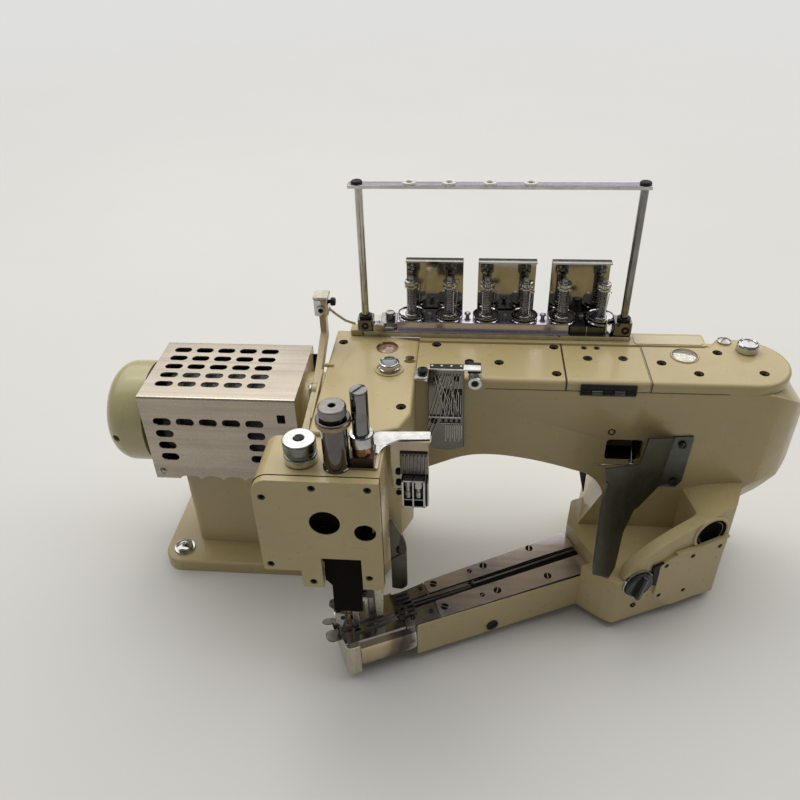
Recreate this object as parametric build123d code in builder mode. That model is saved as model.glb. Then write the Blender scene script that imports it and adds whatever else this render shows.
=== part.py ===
from build123d import *
import os
from math import atan2, cos, degrees, pi, radians, sin, tan

os.makedirs("parts", exist_ok=True)

# A feed-off-the-arm flat seaming machine. All sizes in millimetres.
# X runs along the upper arm from the handwheel, Y from the needle side to the back, Z up.
# The origin is the middle of the four base bolts, on the underside of the base plate.

# Running and seating clearances
running_gap = 0.05
working_gap = 0.4
lid_gap = 0.3

# Base plate and column
base_length = 248.0
base_width = 150.0
base_thickness = 14.0
base_corner = 22.0
bolt_inset = 20.0
bolt_hole_d = 11.0
column_left = -92.0
column_right = 118.0
column_width = 84.0
column_height = 108.0
column_wall = 12.0

# Main shaft line
shaft_height = 161.0
shaft_d = 14.0
shaft_end_inset = 8.0
bush_wall = 6.0
bush_length = 12.0
right_bush_inset = 30.0

# Handwheel, motor and its perforated cover
handwheel_d = 104.0
handwheel_left = -164.0
handwheel_right = -119.0
handwheel_round = 22.0
handwheel_wall = 6.0
cover_left = -116.0
cover_right = 38.0
cover_width = 102.0
cover_top = 213.5
cover_bottom = 112.0
sheet = 1.5
slot_length = 18.0
slot_width = 8.8
slot_pitch_x = 23.0
slot_pitch_y = 15.6
slot_pitch_z = 14.6
slot_columns = 5
slot_rows = 5
motor_left = -104.0
motor_right = 30.0
motor_d = 88.0
motor_bore_d = 50.0
rotor_d = 49.0
flange_thickness = 8.0

# Upper arm with the needle block at its left and the C shaped body at its right
block_left = 68.0
block_right = 152.0
block_front = -131.0
block_nose = 25.0
block_bottom = 116.0
arm_front = -46.0
arm_back = 42.0
seat_height = 230.0
arch_height = 149.0
root_to_throat = 29.887
body_length = 146.0
body_bulge = 33.0
foot_height = 9.0
cover_thickness = 10.0
bay_front = -26.0
bay_back = 16.0
bay_floor = 152.0
belt_bay_length = 56.0
belt_bay_floor = 26.0
top_cover_back = 20.0
right_cover_back = 36.0
flap_lap = 47.0
flap_length = 74.0
rib_reach = 90.0
window_lap = 4.0
window_length = 34.0
window_low = 151.5
window_high = 176.0
housing_reach = 33.0
housing_gap = 5.0
housing_length = 117.0
housing_top = 65.0
housing_wall = 12.0
flank_lead = 16.0
heel_front = 152.0
heel_back = 190.0
heel_inner = 154.0
wall_left_top = 66.0
wall_dial_top = 86.5
wall_right_top = 125.0
wall_root = 94.0
throat_draft = 0.25
underside_bevel = 14.0
plug_d = 26.0
plug_along = 94.0
plug_height = 98.5
plug_depth = 6.0
pulley_inset = 53.0
pulley_r = 11.5
tooth_count = 18
dial_inset = 20.0
dial_height = 59.0
dial_d = 29.0
dial_stem_d = 12.0

# Feed arm, measured from its tip along its own direction
feed_tip_x = 97.8
feed_tip_y = -200.5
feed_angle = 24.2
feed_length = 254.0
feed_width = 46.0
feed_root_width = 57.0
feed_top = 49.0
feed_bottom = 9.0
cap_length = 13.0
looper_length = 55.0
plate_thickness = 3.0
front_plate_edge = 2.0
rear_plate_edge = 33.0
plates_start = 92.0
plates_inset = 2.0
needle_plate_length = 58.0

# Sewing head
head_left = 31.0
head_right = 133.0
head_front = -188.0
head_step = 4.0
head_height = 104.0
face_thickness = 7.0
face_drop = 17.0
face_corner = 14.0
notch_height = 36.0
head_wall = 8.0
needle_x = 98.0
needle_y = -167.0
needle_bar_d = 8.0
presser_x = 117.5
presser_y = -158.0
presser_bar_d = 8.0
knob_x = 68.0
knob_y = -161.0

# Presser lifter: a lever on a pivot that stands out of the block's left side
pivot_y = -50.0
pivot_drop = 6.0
pivot_d = 8.0
pivot_length = 13.0
lever_x = 60.0
lever_thickness = 6.0
lever_front = -126.0
lever_back = 18.0
lever_rise = 52.0
lever_block = 18.0

# Thread tension unit on the back of the arm
post_count = 6
post_first_x = 143.0
post_pitch = 36.8
post_y = 44.0
post_d = 5.0
post_length = 46.0
rail_lap_left = 48.0
rail_lap_right = 29.0
rail_front = 26.0
rail_width = 36.0
rail_thickness = 5.0
boss_height = 6.0
disc_d = 26.6
disc_height = 3.0
spring_d = 10.0
spring_gap = 0.3
spring_length = 32.0
nut_d = 13.0
nut_height = 8.0
rod_inset = 8.0
rod_y = 35.0
rod_d = 8.0
rod_length = 138.0
bar_width = 13.0
bar_thickness = 3.0
bar_overhang = 9.0
eyelet_d = 11.0

# Values that follow from the sizes above
axis_y = 0.0
bolt_x = base_length / 2 - bolt_inset
bolt_y = base_width / 2 - bolt_inset
bush_d = shaft_d + 2 * bush_wall
cover_seat = seat_height + cover_thickness
head_top = cover_seat - head_step
head_bottom = head_top - head_height
face_bottom = head_bottom - face_drop
pivot_z = seat_height - pivot_drop
lever_top = cover_seat + lever_rise
rail_top = cover_seat + rail_thickness
rod_top = rail_top + rod_length
arm_depth = arm_back - arm_front
feed_direction = Vector(cos(radians(feed_angle)), sin(radians(feed_angle)), 0)
feed_across = Vector(-sin(radians(feed_angle)), cos(radians(feed_angle)), 0)
feed_origin = Vector(feed_tip_x, feed_tip_y, 0)
feed_plane = Plane(origin=feed_origin, x_dir=feed_direction, z_dir=(0, 0, 1))
shoulder_side = Plane(origin=feed_origin, x_dir=feed_direction, z_dir=-feed_across)
feed_root = feed_origin + feed_direction * feed_length + feed_across * feed_root_width
throat_right = feed_root.X + root_to_throat
body_right = throat_right + body_length
middle_cover_left = throat_right - flap_lap
middle_cover_right = middle_cover_left + flap_length
rib_right = throat_right + rib_reach
window_left = throat_right - window_lap
window_right = window_left + window_length
pulley_x = throat_right + pulley_inset
middle_bush_x = middle_cover_left - 1
right_bush_x = body_right - right_bush_inset
shaft_right = body_right - shaft_end_inset
housing_start = feed_length + housing_gap
housing_end = housing_start + housing_length
wall_start = housing_start + 5.0
dial_along = housing_start + dial_inset
plates_end = feed_length - plates_inset
bush_stations = (block_left + 1, middle_bush_x, right_bush_x)
plate_seat = feed_top - plate_thickness
looper_end = cap_length + looper_length
needle_offset = Vector(needle_x, needle_y, 0) - feed_origin
needle_along = needle_offset.dot(feed_direction)
needle_across = needle_offset.dot(feed_across)
presser_offset = Vector(presser_x, presser_y, 0) - feed_origin
presser_along = presser_offset.dot(feed_direction)
presser_across = presser_offset.dot(feed_across)
post_xs = [post_first_x + index * post_pitch for index in range(post_count)]
rail_left = post_xs[0] - rail_lap_left
rail_right = post_xs[-1] + rail_lap_right
rod_left_x = rail_left + rod_inset
rod_right_x = rail_right - rod_inset


def save(piece, name):
    """Name a finished piece and write it as its own STEP file."""
    piece.label = name
    export_step(piece, f"parts/{name}.step")


def feed_point(along, across, height=0.0):
    """A point of the feed arm from its own two directions."""
    return feed_origin + feed_direction * along + feed_across * across + Vector(0, 0, height)


# Pedestal: base plate and hollow column, one casting
with BuildPart() as pedestal:
    with BuildSketch(Plane.XY):
        RectangleRounded(base_length, base_width, base_corner)
    extrude(amount=base_thickness)
    fillet(pedestal.faces().sort_by(Axis.Z)[-1].edges(), 3)
    column_mid = (column_left + column_right) / 2
    column_length = column_right - column_left
    with BuildSketch(Plane.XY.offset(base_thickness)):
        with Locations((column_mid, axis_y)):
            RectangleRounded(column_length, column_width, 9)
    extrude(amount=column_height - base_thickness)
    with BuildSketch(Plane.XY):
        with Locations((column_mid, axis_y)):
            RectangleRounded(column_length - 2 * column_wall, column_width - 2 * column_wall, 6)
    extrude(amount=column_height - column_wall, mode=Mode.SUBTRACT)
    with Locations(Plane.XY.offset(base_thickness)):
        with GridLocations(2 * bolt_x, 2 * bolt_y, 2, 2):
            Hole(bolt_hole_d / 2)
save(pedestal.part, "pedestal")

# Motor housing: a ribbed cylinder round the rotor, with an end bell
shaft_plane = Plane(origin=(0, axis_y, shaft_height), x_dir=(0, 1, 0), z_dir=(1, 0, 0))
with BuildPart() as motor_housing:
    with BuildSketch(shaft_plane.offset(motor_left)):
        Circle(motor_d / 2 - 3)
    extrude(amount=motor_right - motor_left)
    with BuildSketch(shaft_plane.offset(motor_left + 10)):
        Circle(motor_d / 2)
    extrude(amount=motor_right - motor_left - 10)
    fillet(motor_housing.edges().filter_by(GeomType.CIRCLE).sort_by(Axis.X)[0], 5)
    rib_count = 5
    rib_pitch = slot_pitch_x
    for rib in range(rib_count):
        with BuildSketch(shaft_plane.offset(motor_left + 22 + rib * rib_pitch)):
            Circle(motor_d / 2 + 1)
            Circle(motor_d / 2 - 2.5, mode=Mode.SUBTRACT)
        extrude(amount=6, mode=Mode.SUBTRACT)
    with BuildSketch(shaft_plane.offset(motor_left + 12)):
        Circle(motor_bore_d / 2)
    extrude(amount=motor_right - motor_left - 12, mode=Mode.SUBTRACT)
    with BuildSketch(shaft_plane.offset(motor_left)):
        Circle(shaft_d / 2 + working_gap)
    extrude(amount=motor_right - motor_left, mode=Mode.SUBTRACT)
save(motor_housing.part, "motor_housing")

# Motor flange: square plate inside the cover and a round spigot to the block
with BuildPart() as motor_flange:
    with BuildSketch(shaft_plane.offset(motor_right)):
        with Locations((0, (cover_top - sheet + cover_bottom) / 2 - shaft_height)):
            RectangleRounded(
                cover_width - 2 * sheet, cover_top - sheet - cover_bottom, 4
            )
    extrude(amount=flange_thickness)
    with BuildSketch(shaft_plane.offset(motor_right + flange_thickness)):
        Circle(motor_d / 2)
    extrude(amount=block_left - motor_right - flange_thickness)
    with BuildSketch(shaft_plane.offset(block_left - 8)):
        RectangleRounded(column_width, 2 * (shaft_height - column_height - 2), 12)
    extrude(amount=8)
    with BuildSketch(shaft_plane.offset(motor_right)):
        Circle(shaft_d / 2 + working_gap)
    extrude(amount=block_left - motor_right, mode=Mode.SUBTRACT)
save(motor_flange.part, "motor_flange")

# Motor cover: one bent sheet with round ended slots and a scalloped front lip
cover_front = axis_y - cover_width / 2
first_slot_x = cover_left + 20.0
last_slot_x = first_slot_x + (slot_columns - 1) * slot_pitch_x
slot_mid_x = (first_slot_x + last_slot_x) / 2
first_slot_z = cover_top - 29.0
with BuildPart() as motor_cover:
    with BuildSketch(shaft_plane.offset(cover_left)):
        with BuildLine() as cover_path:
            side_low = cover_bottom - shaft_height
            side_high = cover_top - shaft_height
            FilletPolyline(
                (-cover_width / 2, side_low),
                (-cover_width / 2, side_high),
                (cover_width / 2, side_high),
                (cover_width / 2, side_low),
                radius=2.5,
            )
            offset(amount=-sheet, side=Side.RIGHT)
        make_face()
    extrude(amount=cover_right - cover_left)
    with BuildSketch(Plane.XY.offset(cover_top - 5)):
        with Locations((slot_mid_x, axis_y + 4)):
            with GridLocations(slot_pitch_x, slot_pitch_y, slot_columns, slot_rows):
                SlotOverall(slot_length, slot_width)
    extrude(amount=10, mode=Mode.SUBTRACT)
    with BuildSketch(Plane.XZ.offset(-cover_front - 5)):
        with Locations((slot_mid_x, first_slot_z)):
            with GridLocations(slot_pitch_x, slot_pitch_z, slot_columns, 1):
                SlotOverall(slot_length, slot_width)
        for row in range(1, 4):
            for column_x in (first_slot_x, last_slot_x):
                with Locations((column_x, first_slot_z - row * slot_pitch_z)):
                    SlotOverall(slot_length, slot_width)
        with Locations((cover_right - 15, first_slot_z + 7)):
            RectangleRounded(8, 10, 1)
        for column in range(1, slot_columns):
            with Locations((first_slot_x + (column - 0.5) * slot_pitch_x + 4, cover_bottom)):
                Ellipse(slot_pitch_x / 2 - 1.2, 4)
    extrude(amount=10, mode=Mode.SUBTRACT)
save(motor_cover.part, "motor_cover")

# Handwheel: a domed drum, hollow towards the motor, with a locking hole in its rim
with BuildPart() as handwheel:
    with BuildSketch(Plane.XZ.offset(-axis_y)) as wheel_profile:
        with BuildLine():
            wheel_r = handwheel_d / 2
            FilletPolyline(
                (handwheel_right, shaft_height + wheel_r),
                (handwheel_left + 4, shaft_height + wheel_r),
                (handwheel_left, shaft_height),
                radius=handwheel_round,
            )
            Line((handwheel_left, shaft_height), (handwheel_right - 20, shaft_height))
            Line(
                (handwheel_right - 20, shaft_height),
                (handwheel_right - 20, shaft_height + wheel_r - handwheel_wall),
            )
            Polyline(
                (handwheel_right - 20, shaft_height + wheel_r - handwheel_wall),
                (handwheel_right, shaft_height + wheel_r - handwheel_wall),
                (handwheel_right, shaft_height + wheel_r),
            )
        make_face()
    revolve(axis=Axis((0, axis_y, shaft_height), (1, 0, 0)))
    with BuildSketch(Plane.XZ.offset(-axis_y)):
        with Locations((handwheel_right - 29, shaft_height)):
            Circle(4)
    extrude(amount=wheel_r, mode=Mode.SUBTRACT)
    with BuildSketch(shaft_plane.offset(handwheel_left + 12)):
        Circle(shaft_d / 2)
    extrude(amount=60, mode=Mode.SUBTRACT)
save(handwheel.part, "handwheel")

# Main shaft: ground bar with the motor's rotor and the drive pulley for the lower shafts
with BuildPart() as main_shaft:
    with BuildSketch(shaft_plane.offset(handwheel_left + 12)):
        Circle(shaft_d / 2)
    extrude(amount=shaft_right - handwheel_left - 12)
    with BuildSketch(shaft_plane.offset(motor_left + 18)):
        Circle(rotor_d / 2)
    extrude(amount=motor_right - motor_left - 30)
    chamfer(main_shaft.edges().filter_by(GeomType.CIRCLE).sort_by(Axis.X)[-1], 1)
save(main_shaft.part, "main_shaft")

# Drive pulley for the toothed belt to the feed arm
with BuildPart() as drive_pulley:
    with BuildSketch(shaft_plane.offset(pulley_x - 8)):
        Circle(pulley_r)
        with PolarLocations(pulley_r, tooth_count):
            Circle(1.0, mode=Mode.SUBTRACT)
        Circle(shaft_d / 2, mode=Mode.SUBTRACT)
    extrude(amount=16)
    for side in (pulley_x - 10, pulley_x + 8):
        with BuildSketch(shaft_plane.offset(side)):
            Circle(pulley_r + 2)
            Circle(shaft_d / 2, mode=Mode.SUBTRACT)
        extrude(amount=2)
save(drive_pulley.part, "drive_pulley")

dial_face = Plane(
    origin=feed_point(dial_along, -housing_reach, dial_height),
    x_dir=feed_direction,
    z_dir=-feed_across,
)

# Cutting plane of the bevel under the body's front, from a line on its front face
bevel_low = Vector(body_right - 55, arm_front, 78)
bevel_high = Vector(body_right + 1, arm_front, 137)
bevel_line = (bevel_high - bevel_low).normalized()
bevel_out = bevel_line.cross(Vector(0, 1, 0))
bevel_depth = bevel_out * -underside_bevel + Vector(0, 9, 0)
bevel_plane = Plane(origin=bevel_low, x_dir=bevel_line, z_dir=bevel_depth.cross(bevel_line))

# Front and right walls of the root housing: they rise round the dial and up to the body
with BuildPart() as housing_shoulder:
    with BuildSketch(feed_plane.offset(housing_top - 2)):
        with BuildLine():
            FilletPolyline(
                (wall_start, housing_wall - housing_reach),
                (wall_start, -housing_reach),
                (housing_end, -housing_reach),
                (feed_length + heel_front, -4),
                (feed_length + heel_front + 10, 30),
                (housing_start + wall_root, 30),
                (housing_start + wall_root - 10, housing_wall - housing_reach),
                radius=5,
                close=True,
            )
        make_face()
    extrude(amount=wall_right_top)
    with BuildSketch(shoulder_side.offset(housing_reach)):
        with BuildLine():
            Spline(
                (wall_start - 1, wall_left_top),
                (dial_along, wall_dial_top),
                (dial_along + 30, wall_dial_top + 16.5),
                (housing_start + wall_root, wall_right_top - 6),
                (housing_end + 30, wall_right_top + 4),
                tangents=((0.2, 1), (1, 0.1)),
            )
            Polyline(
                (housing_end + 30, wall_right_top + 4),
                (housing_end + 50, wall_right_top + 4),
                (housing_end + 50, foot_height),
                (wall_start - 1, foot_height),
                (wall_start - 1, wall_left_top),
            )
        make_face()
    extrude(amount=-90, mode=Mode.INTERSECT)

# Arm casting: needle block, hollow upper arm, C shaped body and the root housing of the feed arm
with BuildPart() as arm_casting:
    with BuildSketch(Plane.XZ.offset(-arm_back)) as arm_side:
        with BuildLine():
            Polyline(
                (block_right - 4, seat_height),
                (body_right - 12, seat_height),
            )
            Spline(
                (body_right - 12, seat_height),
                (body_right + body_bulge, shaft_height + 2),
                (body_right + 16, shaft_height - 32),
                (body_right + 2, shaft_height - 53),
                (body_right - 14, shaft_height - 77),
                tangents=((1, -0.25), (-0.15, -1)),
            )
            Polyline(
                (body_right - 14, shaft_height - 77),
                (body_right - 14, foot_height),
                (throat_right - 24, foot_height),
                (throat_right - 24, feed_top + 6),
            )
            ThreePointArc(
                (throat_right - 24, feed_top + 6),
                (throat_right - 13, feed_top + 30),
                (throat_right, 108),
            )
            ThreePointArc((throat_right, 108), (throat_right - 9, 125), (throat_right - 28, 136))
            Spline(
                (throat_right - 28, 136),
                (throat_right - 84, arch_height + 1.5),
                (block_right + 46, arch_height + 1),
                (block_right + 14, arch_height - 13),
                (block_right - 4, block_bottom + 6),
                tangents=((-0.95, 0.32), (-0.35, -0.94)),
            )
            Line((block_right - 4, block_bottom + 6), (block_right - 4, seat_height))
        make_face()
    extrude(amount=arm_depth)
    with BuildSketch(Plane.XY.offset(foot_height - 1)):
        with BuildLine():
            end_r = arm_depth / 2
            end_x = body_right + body_bulge - end_r
            Polyline(
                (end_x, arm_front),
                (block_right - 10, arm_front),
                (block_right - 10, arm_back),
                (end_x, arm_back),
            )
            ThreePointArc(
                (end_x, arm_back), (end_x + end_r, (arm_front + arm_back) / 2), (end_x, arm_front)
            )
        make_face()
    extrude(amount=seat_height + 2 - foot_height, mode=Mode.INTERSECT)
    # The throat's right wall runs back to the right, and the body is bevelled under its front
    with BuildSketch(Plane.XZ.offset(-arm_front)):
        with BuildLine():
            ThreePointArc(
                (throat_right - 24, feed_top + 6),
                (throat_right - 13, feed_top + 30),
                (throat_right, 108),
            )
            ThreePointArc((throat_right, 108), (throat_right - 9, 125), (throat_right - 28, 136))
            Polyline(
                (throat_right - 28, 136),
                (throat_right - 60, 136),
                (throat_right - 60, foot_height - 1),
                (throat_right - 24, foot_height - 1),
                (throat_right - 24, feed_top + 6),
            )
        make_face()
    extrude(amount=arm_depth + 10, dir=(throat_draft, 1, 0), mode=Mode.SUBTRACT)
    with BuildSketch(bevel_plane):
        Rectangle(260, 120)
    extrude(amount=70, mode=Mode.SUBTRACT)
    with BuildSketch(Plane.XY.offset(block_bottom)):
        with BuildLine():
            Polyline(
                (block_left, block_front),
                (block_right - block_nose - 9, block_front),
                (block_right - 9, block_front + 10),
                (block_right, block_front + 31),
                (block_right, arm_back),
                (block_left, arm_back),
                (block_left, block_front),
            )
        make_face()
    extrude(amount=seat_height - block_bottom)
    with BuildSketch(Plane.XY.offset(column_height)):
        with Locations(((block_left + column_right) / 2, axis_y)):
            RectangleRounded(column_right - block_left, column_width, 6)
    extrude(amount=block_bottom - column_height)
    with BuildSketch(feed_plane.offset(foot_height)):
        with BuildLine():
            FilletPolyline(
                (feed_length - flank_lead, 0),
                (housing_start - 9, -22),
                (housing_start - 1, -housing_reach),
                (housing_end, -housing_reach),
                (feed_length + heel_front, -4),
                (feed_length + heel_back, 38),
                (feed_length + heel_inner, 84),
                (feed_length + 20, 84),
                (feed_length, feed_root_width),
                radius=6,
            )
            Polyline(
                (feed_length, feed_root_width), (feed_length, 0), (feed_length - flank_lead, 0)
            )
        make_face()
    extrude(amount=housing_top - foot_height)
    add(housing_shoulder.part)
    with BuildSketch(shaft_plane.offset(block_left)):
        with Locations((pivot_y, pivot_z - shaft_height)):
            Circle(pivot_d / 2)
    extrude(amount=-pivot_length)
    with BuildSketch(Plane.XY.offset(seat_height)):
        with Locations(((block_right + rib_right) / 2, (top_cover_back + lid_gap + arm_back) / 2)):
            RectangleRounded(rib_right - block_right, arm_back - top_cover_back - lid_gap, 3)
    extrude(amount=cover_thickness)
    with BuildSketch(dial_face):
        Circle(dial_stem_d / 2 + running_gap)
    extrude(amount=-10, mode=Mode.SUBTRACT)
    with BuildSketch(shoulder_side.offset(housing_reach)):
        with Locations((housing_start + plug_along, plug_height)):
            Circle(plug_d / 2)
    extrude(amount=-plug_depth, mode=Mode.SUBTRACT)
    # Shaft bay under the top covers, with cross webs that carry the bushes
    bays = (
        (block_left + bush_length + 3, bush_stations[1] - 3),
        (bush_stations[1] + bush_length + 3, bush_stations[2] - 3),
    )
    for bay_left, bay_right in bays:
        with BuildSketch(Plane.XY.offset(bay_floor)):
            with Locations(((bay_left + bay_right) / 2, (bay_front + bay_back) / 2)):
                RectangleRounded(bay_right - bay_left, bay_back - bay_front, 8)
        extrude(amount=seat_height - bay_floor + 1, mode=Mode.SUBTRACT)
    with BuildSketch(shaft_plane.offset(block_left - 1)):
        Circle(shaft_d / 2 + working_gap)
    extrude(amount=shaft_right + 4 - block_left, mode=Mode.SUBTRACT)
    for station in bush_stations:
        with BuildSketch(shaft_plane.offset(station - 0.01)):
            Circle(bush_d / 2)
        extrude(amount=bush_length + 0.02, mode=Mode.SUBTRACT)
    # Bay for the belt that runs down to the feed arm's shafts
    with BuildSketch(Plane.XY.offset(belt_bay_floor)):
        with Locations((pulley_x, (bay_front + bay_back) / 2)):
            RectangleRounded(belt_bay_length, bay_back - bay_front, 8)
    extrude(amount=bay_floor + 1 - belt_bay_floor, mode=Mode.SUBTRACT)
    # Inspection window into the belt bay
    with BuildSketch(Plane.XZ.offset(-bay_front)):
        with Locations(((window_left + window_right) / 2, (window_low + window_high) / 2)):
            RectangleRounded(window_right - window_left, window_high - window_low, 4)
    extrude(amount=-arm_front + bay_front + 1, mode=Mode.SUBTRACT)
save(arm_casting.part, "arm_casting")

# Shaft bushes: bronze rings in the three webs
with BuildPart() as shaft_bush:
    with BuildSketch(shaft_plane):
        Circle(bush_d / 2)
        Circle(shaft_d / 2 + running_gap, mode=Mode.SUBTRACT)
    extrude(amount=bush_length)
bushes = Compound([Pos(station, 0, 0) * shaft_bush.part.solid() for station in bush_stations])
save(bushes, "shaft_bushes")

# Recessed cover screws: a hole in the cover and a socket head that sits below its face
screw_head_d = 6.6
screw_hole_d = 7.2
screw_head_height = 3.2
screw_hole_depth = 4.4
rear_screw_y = top_cover_back - 7
front_screw_y = arm_front + 10
block_screws = ((block_right - 9.3, -91.3), (block_left + 9.5, 14.0))
left_screws = (
    (block_right + 17, rear_screw_y),
    (middle_cover_left - 60.4, front_screw_y + 19.4),
    (middle_cover_left - 8.5, front_screw_y + 2.6),
    (middle_cover_left - 7.5, rear_screw_y),
)
right_screws = (
    (middle_cover_right + 15, -11.0),
    (middle_cover_right + 45, front_screw_y + 8),
    (rib_right + 7, rear_screw_y - 4),
    (body_right - 16, -25.0),
)

# Block cover: flat lid over the needle drive, with seats for the oil window and the filler
window_x = block_right - 30.2
window_y = 6.0
window_d = 22.0
filler_x = block_right - 25.0
filler_y = -32.0
filler_d = 19.0
lid_round = 3.0
with BuildPart() as block_cover:
    with BuildSketch(Plane.XY.offset(seat_height)):
        with BuildLine():
            Polyline(
                (block_left, block_front),
                (block_right - block_nose - 9, block_front),
                (block_right - 9, block_front + 10),
                (block_right, block_front + 31),
                (block_right, top_cover_back),
                (block_right - 14, top_cover_back + 3),
                (block_left + 26, right_cover_back + 2),
                (block_left, right_cover_back + 2),
                (block_left, block_front),
            )
        make_face()
    extrude(amount=cover_thickness)
    fillet(block_cover.faces().sort_by(Axis.Z)[-1].edges(), lid_round)
    with BuildSketch(Plane.XY.offset(cover_seat)):
        with Locations((window_x, window_y)):
            Circle(window_d / 2)
        with Locations((block_right - 7, -18)):
            Ellipse(5.5, 3.4)
    extrude(amount=-6, mode=Mode.SUBTRACT)
    with BuildSketch(Plane.XY.offset(cover_seat)):
        with Locations((filler_x, filler_y)):
            Circle(filler_d / 2 + 4)
            Circle(filler_d / 2 + 2, mode=Mode.SUBTRACT)
    extrude(amount=1.2)
    with BuildSketch(Plane.XY.offset(cover_seat)):
        with Locations((filler_x, filler_y)):
            Circle(filler_d / 2 - 3 + running_gap)
    extrude(amount=-cover_thickness, mode=Mode.SUBTRACT)
    with BuildSketch(Plane.XY.offset(cover_seat)):
        with Locations(*block_screws):
            Circle(screw_hole_d / 2)
    extrude(amount=-screw_hole_depth, mode=Mode.SUBTRACT)
save(block_cover.part, "block_cover")

# Left and right top covers of the arm
with BuildPart() as left_cover:
    with BuildSketch(Plane.XY.offset(seat_height)):
        with Locations(((block_right + middle_cover_left) / 2, (arm_front + top_cover_back) / 2)):
            Rectangle(middle_cover_left - block_right - lid_gap, top_cover_back - arm_front)
    extrude(amount=cover_thickness)
    fillet(left_cover.faces().sort_by(Axis.Z)[-1].edges().filter_by(Axis.X), 5)
    with BuildSketch(Plane.XY.offset(cover_seat)):
        with Locations(*left_screws):
            Circle(screw_hole_d / 2)
    extrude(amount=-screw_hole_depth, mode=Mode.SUBTRACT)
save(left_cover.part, "left_top_cover")

dome_x = middle_cover_right + 38.5
dome_y = 2.0
dome_d = 22.0
dome_depth = 5.0
dome_rise = 5.0
dome_ball_r = (dome_d**2 / 4 + dome_rise**2) / (2 * dome_rise)
cap_x = body_right - 21.0
cap_y = 14.0
cap_d = 20.0
cap_stem_d = 12.0
right_end = body_right + 13.0
right_end_y = -5.0
right_end_r = right_end_y - arm_front
with BuildPart() as right_cover:
    with BuildSketch(Plane.XY.offset(seat_height)):
        with BuildLine():
            end_mid = right_end - right_end_r
            Polyline(
                (end_mid, arm_front),
                (middle_cover_right, arm_front),
                (middle_cover_right, top_cover_back),
                (rib_right, top_cover_back),
                (rib_right + 12, 2 * right_end_y - arm_front),
                (end_mid, 2 * right_end_y - arm_front),
            )
            ThreePointArc(
                (end_mid, 2 * right_end_y - arm_front),
                (right_end, right_end_y),
                (end_mid, arm_front),
            )
        make_face()
    extrude(amount=cover_thickness)
    right_rim = right_cover.faces().sort_by(Axis.Z)[-1].edges()
    fillet(right_rim.filter_by(lambda rim: rim.center().X > middle_cover_right + 0.5), 4)
    with BuildSketch(Plane.XY.offset(cover_seat)):
        with Locations((dome_x, dome_y)):
            Circle(dome_d / 2)
    extrude(amount=-5, mode=Mode.SUBTRACT)
    with BuildSketch(Plane.XY.offset(cover_seat)):
        with Locations((cap_x, cap_y)):
            Circle(cap_stem_d / 2 + running_gap)
    extrude(amount=-cover_thickness + 2, mode=Mode.SUBTRACT)
    with BuildSketch(Plane.XY.offset(cover_seat)):
        with Locations(*right_screws):
            Circle(screw_hole_d / 2)
    extrude(amount=-screw_hole_depth, mode=Mode.SUBTRACT)
save(right_cover.part, "right_top_cover")

# Middle top cover: the flap that opens over the shaft, on a hinge along the arm's front edge
hinge_y = arm_front - 3.0
hinge_z = seat_height + 1.0
hinge_left = middle_cover_left + 11.0
hinge_right = middle_cover_right - 14.0
hinge_d = 5.0
hinge_pin_d = 2.4
leaf_thickness = 1.5
leaf_height = 8.5
knuckle_count = 5
knuckle_length = (hinge_right - hinge_left) / knuckle_count
leaf_y = arm_front - hinge_y - leaf_thickness / 2
hinge_plane = Plane(origin=(0, hinge_y, hinge_z), x_dir=(0, 1, 0), z_dir=(1, 0, 0))
flap_dimples = ((22.3, -6), (55, -5), (21, rear_screw_y), (33, rear_screw_y))
with BuildPart() as middle_cover:
    with BuildSketch(Plane.XY.offset(seat_height + lid_gap)):
        with Locations(
            ((middle_cover_left + middle_cover_right) / 2, (arm_front + top_cover_back) / 2)
        ):
            Rectangle(
                middle_cover_right - middle_cover_left - 2 * lid_gap, top_cover_back - arm_front
            )
    extrude(amount=cover_thickness - lid_gap)
    fillet(middle_cover.faces().sort_by(Axis.Z)[-1].edges().filter_by(Axis.X), 5)
    with BuildSketch(Plane.XY.offset(cover_seat)):
        with Locations(*[(middle_cover_left + step, y) for step, y in flap_dimples]):
            Circle(screw_hole_d / 2 - 0.6)
    extrude(amount=-3, mode=Mode.SUBTRACT)
save(middle_cover.part, "middle_top_cover")


def hinge_half(first, side):
    """One hinge leaf: every second barrel from first, and its flat above or below the pin."""
    with BuildPart() as half:
        for index in range(first, knuckle_count, 2):
            start = hinge_left + index * knuckle_length + working_gap / 2
            with BuildSketch(hinge_plane.offset(start)):
                Circle(hinge_d / 2)
                with Locations((leaf_y, side * leaf_height / 2)):
                    Rectangle(leaf_thickness, leaf_height)
            extrude(amount=knuckle_length - working_gap)
        with BuildSketch(hinge_plane.offset(hinge_left)):
            with Locations((leaf_y, side * (leaf_height + hinge_d + working_gap) / 2)):
                Rectangle(leaf_thickness, leaf_height - hinge_d - working_gap)
        extrude(amount=hinge_right - hinge_left)
        with BuildSketch(hinge_plane.offset(hinge_left)):
            Circle(hinge_pin_d / 2 + running_gap)
        extrude(amount=hinge_right - hinge_left, mode=Mode.SUBTRACT)
    return half.part


save(hinge_half(1, 1), "hinge_moving_leaf")

# Fixed leaf of the hinge, with the pin held in its three knuckles
with BuildPart() as hinge_pin:
    with BuildSketch(hinge_plane.offset(hinge_left)):
        Circle(hinge_pin_d / 2)
    extrude(amount=hinge_right - hinge_left)
save(Compound([hinge_half(0, -1).solid(), hinge_pin.part.solid()]), "hinge_fixed_leaf")

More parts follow.
